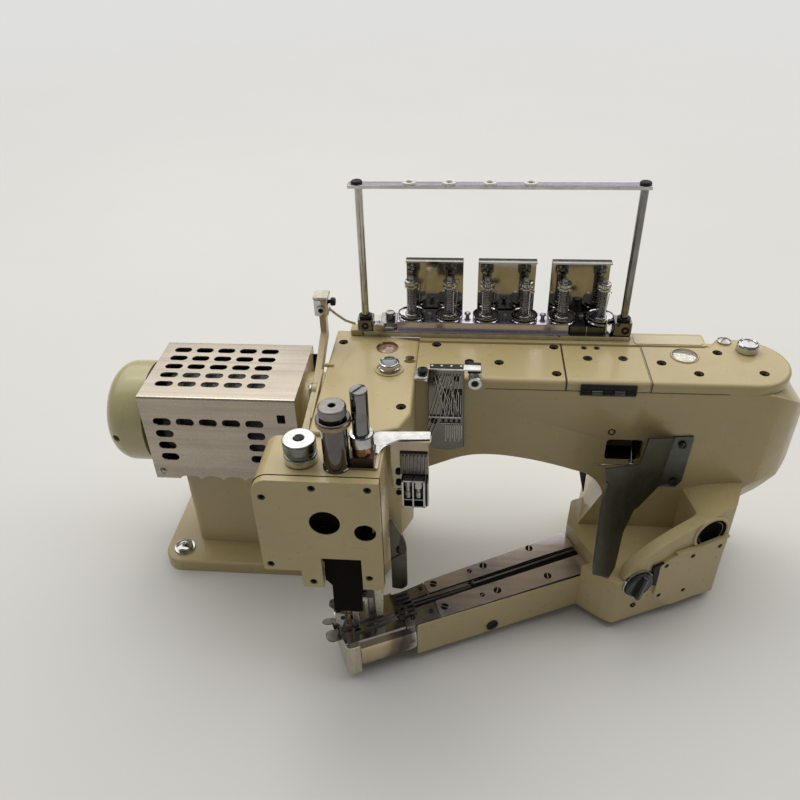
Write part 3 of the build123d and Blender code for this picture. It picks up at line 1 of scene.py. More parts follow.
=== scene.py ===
"""Looks of the flatlock sewing machine, laid out as an add-on and run as a script.

Sizes of the machine are in millimetres, turned into metres by MM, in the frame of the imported
CAD model. Lamps, floor and camera are in metres.
"""

import math

import bmesh
import bpy
import numpy as np
from mathutils import Matrix, Vector


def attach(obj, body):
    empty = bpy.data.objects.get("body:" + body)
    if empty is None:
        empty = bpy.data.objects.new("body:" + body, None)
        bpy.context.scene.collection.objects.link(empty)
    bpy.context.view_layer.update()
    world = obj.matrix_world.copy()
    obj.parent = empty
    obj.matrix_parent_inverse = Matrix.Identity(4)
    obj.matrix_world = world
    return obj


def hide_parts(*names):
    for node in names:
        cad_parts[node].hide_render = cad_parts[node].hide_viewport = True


bl_info = {
    "name": "Flatlock sewing machine",
    "version": (1, 0, 0),
    "blender": (4, 5, 0),
    "location": "View3D > Sidebar > Seamer",
    "description": "Builds the visible pieces and finishes of a feed-off-the-arm flat seaming machine",
    "category": "Object",
}

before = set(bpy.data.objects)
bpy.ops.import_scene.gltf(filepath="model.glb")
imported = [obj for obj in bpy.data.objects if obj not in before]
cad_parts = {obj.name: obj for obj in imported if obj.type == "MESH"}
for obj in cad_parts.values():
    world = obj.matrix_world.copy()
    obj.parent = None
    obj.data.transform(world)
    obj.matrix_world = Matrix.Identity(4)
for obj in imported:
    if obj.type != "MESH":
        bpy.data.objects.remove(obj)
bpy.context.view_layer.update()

MM = 0.001
CAMERA_PLACE = (0.196, -0.627, 0.630)
CAMERA_AXES = (
    (0.996286, 0.082320, -0.025252),
    (-0.027228, 0.579407, 0.814583),
    (0.081688, -0.810870, 0.579497),
)
CAMERA_LENS = 34.574
CAMERA_SENSOR = 36.0
COVER_TOP = 240.0
FRONT = (0, -1, 0)
SHARP_TURN = math.radians(38)
CAST_SHARP_TURN = math.radians(20)
EDGE_TURN = math.radians(34)
FLAT_TURN = math.radians(0.6)
WELD = 1e-6
BEND_STEPS = 6
SCREW_SIDES = 36
FEED_ANGLE = math.radians(24.2)
FEED_TIP = np.array([0.0978, -0.2005, 0.0])
ALONG = np.array([math.cos(FEED_ANGLE), math.sin(FEED_ANGLE), 0.0])
ACROSS = np.array([-math.sin(FEED_ANGLE), math.cos(FEED_ANGLE), 0.0])
UP = np.array([0.0, 0.0, 1.0])
THIN_SHEET = ((0.3, 0), (0, 0.3), (0, 1.2), (0.3, 1.5))
RAIL_FOOT = 245.0
DRIVE_AXIS = 161.0


def feed_point(along, across, height):
    """A point of the feed arm, in millimetres along, across and above it."""
    return FEED_TIP + (ALONG * along + ACROSS * across + UP * height) * MM


# Settings that a user would change


def colour_setting(name, description, default):
    """A colour that a user may change."""
    return bpy.props.FloatVectorProperty(
        name=name, description=description, default=default, subtype="COLOR", size=3, min=0.0,
        max=1.0,
    )


class SeamerPaint(bpy.types.PropertyGroup):
    """Colours of the painted castings."""

    cream: colour_setting("Cream", "Gloss paint of the castings and covers", (0.500, 0.400, 0.196))
    wheel: colour_setting("Handwheel", "Greener paint of the handwheel", (0.46, 0.415, 0.215))


class SeamerMetal(bpy.types.PropertyGroup):
    """Colour of the motor cover, and the tension springs."""

    stainless: colour_setting("Stainless", "Brushed sheet of the motor cover", (0.46, 0.405, 0.335))
    spring_wire: bpy.props.FloatProperty(
        name="Spring wire",
        description="Wire thickness of the tension springs",
        subtype="DISTANCE",
        unit="LENGTH",
        min=0.0005,
        max=0.003,
        default=0.0012,
    )
    spring_turns: bpy.props.IntProperty(
        name="Spring turns",
        description="Turns of wire in each tension spring",
        min=4,
        max=18,
        default=13,
    )


# Meshes


def finish_piece(piece, finish, body, sharp=SHARP_TURN):
    """Gives a piece its finish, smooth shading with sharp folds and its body."""
    mesh = piece.data
    mesh.materials.clear()
    mesh.materials.append(FINISHES[finish])
    mesh.shade_smooth()
    mesh.set_sharp_from_angle(angle=sharp)
    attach(piece, body)


def sheet_faces(rows, columns, wrap_rows=False):
    """Quads of a grid of rows by columns, closed along each row, and over the rows if asked.

    Where the rows stay open, the first and the last get a flat face each.
    """
    row, column = np.arange(rows if wrap_rows else rows - 1), np.arange(columns)
    r, c = np.meshgrid(row, column, indexing="ij")
    r2, c2 = (r + 1) % rows, (c + 1) % columns
    quads = np.stack([r * columns + c, r * columns + c2, r2 * columns + c2, r2 * columns + c], -1)
    faces = quads.reshape(-1, 4).tolist()
    if not wrap_rows:
        faces.append(column[::-1].tolist())
        faces.append(((rows - 1) * columns + column).tolist())
    return faces


def axis_frame(axis):
    """Two unit vectors at right angles to an axis, and the axis itself."""
    axis = np.asarray(axis, float)
    axis = axis / np.linalg.norm(axis)
    side = np.cross(axis, UP) if abs(axis[2]) < 0.9 else np.array([1.0, 0.0, 0.0])
    side = side - axis * side.dot(axis)
    side = side / np.linalg.norm(side)
    return side, np.cross(axis, side), axis


def turned(profile, place, axis=(0, 0, 1), sides=40, shape=None, closed=False):
    """A turned solid: point (i, j) is place + r_i s(i, j) (cos t_j, sin t_j) + h_i axis.

    profile holds (r_i, h_i) in millimetres and t_j = 2 pi j / sides. shape, if given, is an
    array of rows by sides that multiplies the radius, for sockets and knurls. closed joins the
    last row to the first, as for a ring; otherwise the ends meet the axis or get a flat face.
    Two rows close to the ends of every step keep its shading even.
    """
    profile = np.asarray(profile, float) * MM
    angle = np.arange(sides) * 2 * np.pi / sides
    shape = np.ones((len(profile), sides)) if shape is None else shape
    rows = np.concatenate([profile, shape], axis=1)
    ahead = np.roll(rows, -1, 0) - rows
    length = np.maximum(np.linalg.norm(ahead[:, :2], axis=1), 1e-9)
    part = np.minimum(0.2 * MM / length, 0.34)[:, None]
    rows = np.stack(
        [rows, rows + ahead * part, rows + ahead * (1 - part)], 1,
    ).reshape(-1, rows.shape[1])
    rows = rows if closed else rows[:-2]
    profile, radius = rows[:, :2], rows[:, :1] * rows[:, 2:]
    side, other, axis = axis_frame(axis)
    ring = np.cos(angle)[None, :, None] * side + np.sin(angle)[None, :, None] * other
    points = np.asarray(place) + radius[:, :, None] * ring + profile[:, 1, None, None] * axis
    return points.reshape(-1, 3), sheet_faces(len(profile), sides, wrap_rows=closed)


def slab(outline, rings, plane):
    """A plate: point (i, j) is corner j moved inwards by a_i, at height h_i over the plane.

    outline is a closed row of (x, y) in millimetres, rings holds (a_i, h_i), and plane is an
    origin with three unit vectors: along x, along y and up. The first and last rings are faced.
    """
    outline = np.asarray(outline, float)
    ahead = np.roll(outline, -1, 0) - outline
    ahead = ahead / np.maximum(np.linalg.norm(ahead, axis=1, keepdims=True), 1e-9)
    behind = np.roll(ahead, 1, 0)
    area = np.sum(
        outline[:, 0] * np.roll(outline[:, 1], -1) - np.roll(outline[:, 0], -1) * outline[:, 1]
    )
    turn = 1.0 if area > 0 else -1.0
    inward = np.stack([-(ahead + behind)[:, 1], (ahead + behind)[:, 0]], -1) * turn
    inward = inward / np.maximum(np.linalg.norm(inward, axis=1, keepdims=True), 1e-9)
    bend = np.sum(inward * np.stack([-ahead[:, 1], ahead[:, 0]], -1) * turn, axis=1)
    inward = inward / np.maximum(bend, 0.4)[:, None]
    rings = np.asarray(rings, float)
    flat = outline[None] + inward[None] * rings[:, 0, None, None]
    origin, along, across, up = (np.asarray(v, float) for v in plane)
    points = origin + (
        flat[..., :1] * along + flat[..., 1:] * across + rings[:, 1, None, None] * up
    ) * MM
    return points.reshape(-1, 3), sheet_faces(len(rings), len(outline))


def rounded(corners, radius, steps=6):
    """Corner points of a polygon with each corner replaced by an arc of at most that radius.

    The arc through corner P is P + d (u (1 - s)^2 + v s^2) for s from 0 to 1, where u and v
    point along the two sides and d is the cut length.
    """
    corners = np.asarray(corners, float)
    before, after = np.roll(corners, 1, 0) - corners, np.roll(corners, -1, 0) - corners
    length_a = np.linalg.norm(before, axis=1, keepdims=True)
    length_b = np.linalg.norm(after, axis=1, keepdims=True)
    cut = np.minimum(np.minimum(length_a, length_b) * 0.49, radius)
    s = np.linspace(0, 1, steps)[None, :, None]
    u, v = before / length_a, after / length_b
    arc = corners[:, None] + cut[:, None] * (u[:, None] * (1 - s) ** 2 + v[:, None] * s**2)
    return arc.reshape(-1, 2)


def tube(path, radius, sides=10):
    """A wire: point (i, j) is p_i + r (cos t_j a_i + sin t_j b_i).

    a_i and b_i are at right angles to the path and to each other, and t_j = 2 pi j / sides.
    """
    path = np.asarray(path, float)
    ahead = np.gradient(path, axis=0)
    ahead = ahead / np.linalg.norm(ahead, axis=1, keepdims=True)
    fixed = np.eye(3)[int(np.argmin(np.abs(ahead).mean(0)))]
    side = np.cross(ahead, fixed)
    side = side / np.linalg.norm(side, axis=1, keepdims=True)
    other = np.cross(ahead, side)
    angle = np.arange(sides) * 2 * np.pi / sides
    points = path[:, None] + radius * (
        np.cos(angle)[None, :, None] * side[:, None] + np.sin(angle)[None, :, None] * other[:, None]
    )
    return points.reshape(-1, 3), sheet_faces(len(path), sides)


def gather(parts):
    """Joins (points, faces) pairs into one, moving each face's numbers along."""
    verts, faces, start = [], [], 0
    for points, quads in parts:
        verts.append(points)
        faces.extend([[corner + start for corner in face] for face in quads])
        start += len(points)
    return np.concatenate(verts), faces


def hexagon(sides):
    """Radius of a hexagon against its corner circle, at each of the sides of a turned piece."""
    angle = np.arange(sides) * 2 * np.pi / sides
    return math.cos(math.pi / 6) / np.cos(np.mod(angle, math.pi / 3) - math.pi / 6)


def at(x, y, z):
    """A point given in millimetres."""
    return np.array([x, y, z], float) * MM


def front_of(y):
    """Plane whose outlines are (x, z), with heights towards the front."""
    return at(0, y, 0), (1, 0, 0), (0, 0, 1), FRONT


def side_of(x):
    """Plane whose outlines are (y, z), with heights to the right."""
    return at(x, 0, 0), (0, 1, 0), (0, 0, 1), (1, 0, 0)


def level_at(z):
    """Plane whose outlines are (x, y), with heights upwards."""
    return at(0, 0, z), (1, 0, 0), (0, 1, 0), (0, 0, 1)


LEVEL = level_at(0)
FEED = (FEED_TIP, ALONG, ACROSS, UP)
HOUSING = (FEED_TIP - ACROSS * 33.0 * MM, ALONG, UP, -ACROSS)


def weld(mesh, distance, outwards=False):
    """Joins corners closer than a distance, and turns the faces outwards if asked."""
    shape = bmesh.new()
    shape.from_mesh(mesh)
    bmesh.ops.remove_doubles(shape, verts=shape.verts, dist=distance)
    if outwards:
        bmesh.ops.recalc_face_normals(shape, faces=shape.faces)
    shape.to_mesh(mesh)
    shape.free()


def put(name, finish, slot, *parts, body="machine", node=None):
    """Joins parts into one welded piece that faces outwards and may stand for a CAD node."""
    points, faces = gather(parts)
    mesh = bpy.data.meshes.new(name)
    mesh.from_pydata(points.tolist(), [], faces)
    mesh.validate()
    mesh.update()
    weld(mesh, WELD, outwards=True)
    piece = bpy.data.objects.new(name, mesh)
    bpy.context.scene.collection.objects.link(piece)
    finish_piece(piece, finish, body)
    if node:
        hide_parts(node)


def bar(low, high, edge=0.4, plane=LEVEL, corner=None):
    """A straight bar between two corners, with rolled edges and rounded upright corners."""
    (x0, y0, z0), (x1, y1, z1) = low, high
    outline = rounded(((x0, y0), (x1, y0), (x1, y1), (x0, y1)), corner or edge, 4)
    return slab(outline, ((edge, z0), (0, z0 + edge), (0, z1 - edge), (edge, z1)), plane)


def strip(path, thickness, plane, length, edge=0.25):
    """A bent sheet: its edge line is path moved half the thickness to each side, swept by length.

    path holds (x, y) of the plane in millimetres; corners come as arcs in path.
    """
    path = np.asarray(path, float)
    ahead = np.gradient(path, axis=0)
    ahead = ahead / np.linalg.norm(ahead, axis=1, keepdims=True)
    across = np.stack([-ahead[:, 1], ahead[:, 0]], -1) * thickness / 2
    outline = np.concatenate([path - across, (path + across)[::-1]])
    low, high = length
    rings = ((edge, low), (0, low + edge), (0, high - edge), (edge, high))
    return slab(outline, rings, plane)


def bend(corners, radius):
    """An open line of (x, y) corners with its inner corners as arcs, as in rounded."""
    corners = np.asarray(corners, float)
    closed = rounded(corners, radius, BEND_STEPS).reshape(len(corners), BEND_STEPS, 2)
    return np.concatenate([corners[:1], closed[1:-1].reshape(-1, 2), corners[-1:]])


def curve(ends, steps=12):
    """Cubic curve (1-t)^3 a + 3 (1-t)^2 t b + 3 (1-t) t^2 c + t^3 d through four corners."""
    a, b, c, d = np.asarray(ends, float)
    t = np.linspace(0, 1, steps)[:, None]
    return (1 - t) ** 3 * a + 3 * (1 - t) ** 2 * t * b + 3 * (1 - t) * t**2 * c + t**3 * d


def knurl(rows, sides, first, last, teeth, depth):
    """Radius factors of a turned piece: 1 - depth (1 + cos(teeth t)) / 2 from row first to last."""
    angle = np.arange(sides) * 2 * np.pi / sides
    shape = np.ones((rows, sides))
    shape[first:last] = 1 - depth * (1 + np.cos(teeth * angle)) / 2
    return shape


def helix(place, radius, low, high, wire, turns):
    """A coil spring: its middle line is R (cos t, sin t) at height low + (high - low) s(t).

    t runs over the turns, and s is 0 for the first 0.8 turn and 1 for the last, so both ends
    lie flat.
    """
    turn = np.linspace(0, turns, int(turns * 20) + 1)
    angle = turn * 2 * np.pi
    rise = np.clip((turn - 0.8) / (turns - 1.6), 0, 1)
    path = np.stack(
        [
            radius * np.cos(angle),
            radius * np.sin(angle),
            low + wire / 2 + (high - low - wire) * rise,
        ],
        -1,
    )
    return tube(np.asarray(place) + path * MM, wire / 2 * MM, 8)


def socket_screw(place, axis, head=3.3, height=3.2, socket=1.9):
    """A socket head screw: a turned head whose recess rows follow a hexagon."""
    profile = (
        (0, 0), (head, 0), (head, height - 0.5), (head - 0.15, height - 0.15), (head - 0.5, height),
        (socket + 0.25, height), (socket, height - 0.25), (socket, height - 1.8), (0, height - 1.8),
    )
    shape = np.ones((len(profile), SCREW_SIDES))
    shape[6:8] = hexagon(SCREW_SIDES)
    return turned(profile, place, axis, SCREW_SIDES, shape)


def slotted_head(place, axis, head, height, crown, slot=1.2, depth=1.0, sides=48, turn=0.6):
    """A domed slotted head: rows of the dome sink by the slot's depth near one line.

    Height is h(r) = height + crown (1 - (r / head)^2), less depth where |y'| < slot / 2.
    """
    radius = np.concatenate([[head, head], np.linspace(head * 0.97, 0.02, 26)])
    angle = np.arange(sides) * 2 * np.pi / sides
    r = np.repeat(radius[:, None], sides, 1)
    level = height + crown * (1 - (r / head) ** 2)
    level[0] = 0.0
    level[1] = height
    aside = np.abs(r * np.sin(angle - turn)[None])
    cut = np.clip((slot / 2 + 0.25 - aside) / 0.25, 0, 1) * depth
    cut[:2] = 0
    side, other, axis = axis_frame(axis)
    ring = np.cos(angle)[None, :, None] * side + np.sin(angle)[None, :, None] * other
    points = np.asarray(place) + (r[:, :, None] * ring + (level - cut)[:, :, None] * axis) * MM
    return points.reshape(-1, 3), sheet_faces(len(radius), sides)


def edge_copy(node, name, width, finish, body):
    """A casting or sheet as a welded copy of its CAD solid, with a small bevel on sharp edges."""
    piece = bpy.data.objects.new(name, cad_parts[node].data.copy())
    piece.data.name = name
    bpy.context.scene.collection.objects.link(piece)
    weld(piece.data, 2 * WELD)
    shape = bmesh.new()
    shape.from_mesh(piece.data)
    bmesh.ops.dissolve_limit(shape, angle_limit=FLAT_TURN, verts=shape.verts, edges=shape.edges)
    bmesh.ops.recalc_face_normals(shape, faces=shape.faces)
    shape.to_mesh(piece.data)
    shape.free()
    rolled = piece.modifiers.new("edges", "BEVEL")
    rolled.width = width * MM
    rolled.segments = 2
    rolled.limit_method = "ANGLE"
    rolled.angle_limit = EDGE_TURN
    rolled.miter_outer = "MITER_ARC"
    bpy.context.view_layer.update()
    graph = bpy.context.evaluated_depsgraph_get()
    mesh = bpy.data.meshes.new_from_object(piece.evaluated_get(graph))
    piece.modifiers.clear()
    piece.data = mesh
    finish_piece(piece, finish, body, CAST_SHARP_TURN)
    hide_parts(node)


# Materials


FINISHES = {}
PEEL_DEPTH = 0.0006
GRAIN_DEPTH = 0.0004
SKIN = (
    ("Color", "NodeSocketColor"),
    ("Roughness", "NodeSocketFloat"),
    ("Height", "NodeSocketFloat"),
)
LOOPER_SPAN = (0.0134, 0.0676)
# Heights over which the looper cover's lower edge darkens to painted shade.
LOOPER_SHADE_EDGE = (0.013, 0.020)
# Painted reflections along the looper cover: warm and dark bands and a bright highlight near its right
# end.
LOOPER_REFLECTION_BANDS = (
    (0.0, (0.52, 0.42, 0.28)),
    (0.32, (0.60, 0.48, 0.31)),
    (0.52, (0.30, 0.22, 0.15)),
    (0.70, (0.10, 0.08, 0.07)),
    (0.84, (0.16, 0.13, 0.12)),
    (0.92, (0.70, 0.64, 0.62)),
    (1.0, (0.26, 0.22, 0.19)),
)


def socket_in(group, name, kind, value=None):
    """Adds an input to a node group, with its default."""
    made = group.interface.new_socket(name=name, in_out="INPUT", socket_type=kind)
    if value is not None:
        made.default_value = value


def place_node(tree, kind, inputs=None, **settings):
    """Adds a node and fills its inputs: a value is set, a socket is linked."""
    made = tree.nodes.new(kind)
    for key, value in settings.items():
        setattr(made, key, value)
    for key, value in (inputs or {}).items():
        if isinstance(value, bpy.types.NodeSocket):
            tree.links.new(value, made.inputs[key])
        else:
            made.inputs[key].default_value = value
    return made


def mix_colour(tree, factor, first, second, blend="MIX"):
    """Colour mix node; returns its result socket."""
    inputs = {0: factor, 6: first, 7: second}
    return place_node(tree, "ShaderNodeMix", inputs, data_type="RGBA", blend_type=blend).outputs[2]


def spread(tree, value, low, high, new_low=0.0, new_high=1.0):
    """Stretches a value from one range to another; returns the result socket."""
    made = place_node(
        tree,
        "ShaderNodeMapRange",
        {"Value": value, "From Min": low, "From Max": high, "To Min": new_low, "To Max": new_high},
    )
    return made.outputs["Result"]


def noise(tree, vector, scale, detail=3.0, roughness=0.5):
    """Noise texture; returns its value socket."""
    made = place_node(
        tree,
        "ShaderNodeTexNoise",
        {"Vector": vector, "Scale": scale, "Detail": detail, "Roughness": roughness},
    )
    return made.outputs["Fac"]


def group_ends(group, outputs):
    """Adds the outputs of a group and returns its input and output nodes."""
    for name, kind in outputs:
        group.interface.new_socket(name=name, in_out="OUTPUT", socket_type=kind)
    return group.nodes.new("NodeGroupInput"), group.nodes.new("NodeGroupOutput")


def paint_group():
    """Sprayed enamel on a casting: slow colour drift, dust in patches, orange peel."""
    group = bpy.data.node_groups.new("enamel_skin", "ShaderNodeTree")
    socket_in(group, "Vector", "NodeSocketVector")
    socket_in(group, "Paint", "NodeSocketColor", (0.5, 0.45, 0.3, 1.0))
    socket_in(group, "Shade", "NodeSocketColor", (0.4, 0.33, 0.2, 1.0))
    socket_in(group, "Peel scale", "NodeSocketFloat", 420.0)
    socket_in(group, "Gloss", "NodeSocketFloat", 0.28)
    start, end = group_ends(group, SKIN)
    vector = start.outputs["Vector"]
    slow = noise(group, vector, 9.0, 3.0)
    fine = noise(group, vector, 70.0, 4.0, 0.6)
    specks = noise(group, vector, 900.0, 2.0)
    drift = spread(group, slow, 0.35, 0.7, 0.0, 0.45)
    base = mix_colour(group, drift, start.outputs["Paint"], start.outputs["Shade"])
    patch = spread(group, fine, 0.58, 0.72, 0.0, 0.22)
    base = mix_colour(group, patch, base, start.outputs["Shade"])
    dark = spread(group, specks, 0.70, 0.76, 0.0, 0.35)
    base = mix_colour(group, dark, base, (0.12, 0.09, 0.05, 1.0))
    group.links.new(base, end.inputs["Color"])
    rough = spread(group, fine, 0.3, 0.7, -0.05, 0.09)
    total = place_node(group, "ShaderNodeMath", {0: start.outputs["Gloss"], 1: rough})
    group.links.new(total.outputs[0], end.inputs["Roughness"])
    peel = place_node(
        group,
        "ShaderNodeTexNoise",
        {"Vector": vector, "Scale": start.outputs["Peel scale"], "Detail": 2.0},
    )
    group.links.new(peel.outputs["Fac"], end.inputs["Height"])
    return group


def grain_group():
    """Ground or brushed metal: fine lines along one way, with slow tarnish over them."""
    group = bpy.data.node_groups.new("metal_grain", "ShaderNodeTree")
    socket_in(group, "Vector", "NodeSocketVector")
    socket_in(group, "Lines", "NodeSocketVector")
    socket_in(group, "Metal", "NodeSocketColor", (0.6, 0.6, 0.6, 1.0))
    socket_in(group, "Tarnish", "NodeSocketColor", (0.35, 0.32, 0.28, 1.0))
    socket_in(group, "Tarnish amount", "NodeSocketFloat", 0.4)
    socket_in(group, "Rough low", "NodeSocketFloat", 0.2)
    socket_in(group, "Rough high", "NodeSocketFloat", 0.4)
    start, end = group_ends(group, SKIN)
    lines = noise(group, start.outputs["Lines"], 1.0, 5.0, 0.65)
    slow = noise(group, start.outputs["Vector"], 24.0, 4.0, 0.6)
    spots = noise(group, start.outputs["Vector"], 260.0, 3.0, 0.6)
    stain = spread(group, slow, 0.42, 0.75, 0.0, 1.0)
    amount = place_node(
        group, "ShaderNodeMath", {
            0: stain, 1: start.outputs["Tarnish amount"],
        }, operation="MULTIPLY"
    )
    base = mix_colour(group, amount.outputs[0], start.outputs["Metal"], start.outputs["Tarnish"])
    streak = spread(group, lines, 0.35, 0.65, 0.82, 1.08)
    grey = place_node(
        group, "ShaderNodeCombineColor", {"Red": streak, "Green": streak, "Blue": streak}
    )
    base = mix_colour(group, 1.0, base, grey.outputs["Color"], "MULTIPLY")
    group.links.new(base, end.inputs["Color"])
    rough = spread(group, spots, 0.3, 0.7, start.outputs["Rough low"], start.outputs["Rough high"])
    group.links.new(rough, end.inputs["Roughness"])
    group.links.new(lines, end.inputs["Height"])
    return group


def new_finish(name):
    """A material; returns its node tree and its Principled shader."""
    material = bpy.data.materials.new(name)
    material.use_nodes = True
    FINISHES[name] = material
    return material.node_tree, material.node_tree.nodes["Principled BSDF"]


def place_skin(tree, shader, group, inputs, bump=None, depth=0.0):
    """Adds a finish group and links its colour, roughness and relief to the shader."""
    skin = place_node(tree, "ShaderNodeGroup", node_tree=group)
    for key, value in inputs.items():
        if isinstance(value, bpy.types.NodeSocket):
            tree.links.new(value, skin.inputs[key])
        else:
            skin.inputs[key].default_value = value
    tree.links.new(skin.outputs["Color"], shader.inputs["Base Color"])
    tree.links.new(skin.outputs["Roughness"], shader.inputs["Roughness"])
    if bump is not None:
        height = {"Strength": bump, "Distance": depth, "Height": skin.outputs["Height"]}
        relief = place_node(tree, "ShaderNodeBump", height)
        tree.links.new(relief.outputs["Normal"], shader.inputs["Normal"])


def painted(name, group, paint, shade, gloss=0.30, peel=420.0, bump=0.06, coat=0.28, shine=0.4):
    """Enamel finish from the enamel group."""
    tree, shader = new_finish(name)
    where = tree.nodes.new("ShaderNodeTexCoord").outputs["Object"]
    inputs = {
        "Vector": where,
        "Paint": (*paint, 1.0),
        "Shade": (*shade, 1.0),
        "Peel scale": peel,
        "Gloss": gloss,
    }
    place_skin(tree, shader, group, inputs, bump, PEEL_DEPTH)
    shader.inputs["Coat Weight"].default_value = coat
    shader.inputs["Coat Roughness"].default_value = 0.12
    shader.inputs["Specular IOR Level"].default_value = shine


def metal(name, group, colour, tarnish, rough, amount, scale, bump, metallic=1.0, turn=0.0):
    """Bare metal finish from the grain group; scale stretches its lines, turned about UP."""
    tree, shader = new_finish(name)
    where = tree.nodes.new("ShaderNodeTexCoord").outputs["Object"]
    stretch = {"Vector": where, "Rotation": (0.0, 0.0, turn), "Scale": scale}
    inputs = {
        "Vector": where,
        "Lines": place_node(tree, "ShaderNodeMapping", stretch).outputs["Vector"],
        "Metal": (*colour, 1.0),
        "Tarnish": (*tarnish, 1.0),
        "Tarnish amount": amount,
        "Rough low": rough[0],
        "Rough high": rough[1],
    }
    place_skin(tree, shader, group, inputs, bump, GRAIN_DEPTH)
    shader.inputs["Metallic"].default_value = metallic


def reflection_band_group():
    """Polished sheet with painted reflections along its length (warm bands, dark bands and a bright
    highlight) and painted shade on its dark lower edge.
    """
    group = bpy.data.node_groups.new("painted_reflection_bands", "ShaderNodeTree")
    socket_in(group, "Vector", "NodeSocketVector")
    start, end = group_ends(group, SKIN[:2])
    axes = place_node(group, "ShaderNodeSeparateXYZ", {"Vector": start.outputs["Vector"]})
    cloud = noise(group, start.outputs["Vector"], 40.0, 2.0)
    shift = spread(group, cloud, 0.3, 0.7, -0.006, 0.006)
    along = place_node(group, "ShaderNodeMath", {0: axes.outputs["X"], 1: shift})
    place = spread(group, along.outputs[0], *LOOPER_SPAN)
    # Painted reflection: bands of colour along the sheet.
    ramp = place_node(group, "ShaderNodeValToRGB", {"Fac": place})
    while len(ramp.color_ramp.elements) < len(LOOPER_REFLECTION_BANDS):
        ramp.color_ramp.elements.new(0.5)
    for element, (position, colour) in zip(ramp.color_ramp.elements, LOOPER_REFLECTION_BANDS):
        element.position = position
        element.color = (*colour, 1.0)
    # Painted shade: the lower edge darkens to near black.
    low = spread(group, axes.outputs["Z"], *LOOPER_SHADE_EDGE, 1.0, 0.0)
    base = mix_colour(group, low, ramp.outputs["Color"], (0.035, 0.045, 0.035, 1.0))
    group.links.new(base, end.inputs["Color"])
    rough = spread(group, cloud, 0.3, 0.7, 0.07, 0.16)
    group.links.new(rough, end.inputs["Roughness"])
    return group


def reflection_banded(name, group):
    """Polished metal with bands of painted reflection along the feed arm."""
    tree, shader = new_finish(name)
    where = tree.nodes.new("ShaderNodeTexCoord").outputs["Object"]
    shifted = place_node(tree, "ShaderNodeMapping", {"Vector": where, "Location": tuple(-FEED_TIP)})
    inputs = {"Vector": shifted.outputs["Vector"], "Rotation": (0, 0, -FEED_ANGLE)}
    level = place_node(tree, "ShaderNodeMapping", inputs)
    place_skin(tree, shader, group, {"Vector": level.outputs["Vector"]})
    shader.inputs["Metallic"].default_value = 1.0


def glass(name, colour, roughness):
    """Clear oil glass."""
    _, shader = new_finish(name)
    shader.inputs["Base Color"].default_value = (*colour, 1.0)
    shader.inputs["Roughness"].default_value = roughness
    shader.inputs["Transmission Weight"].default_value = 0.85
    shader.inputs["IOR"].default_value = 1.45


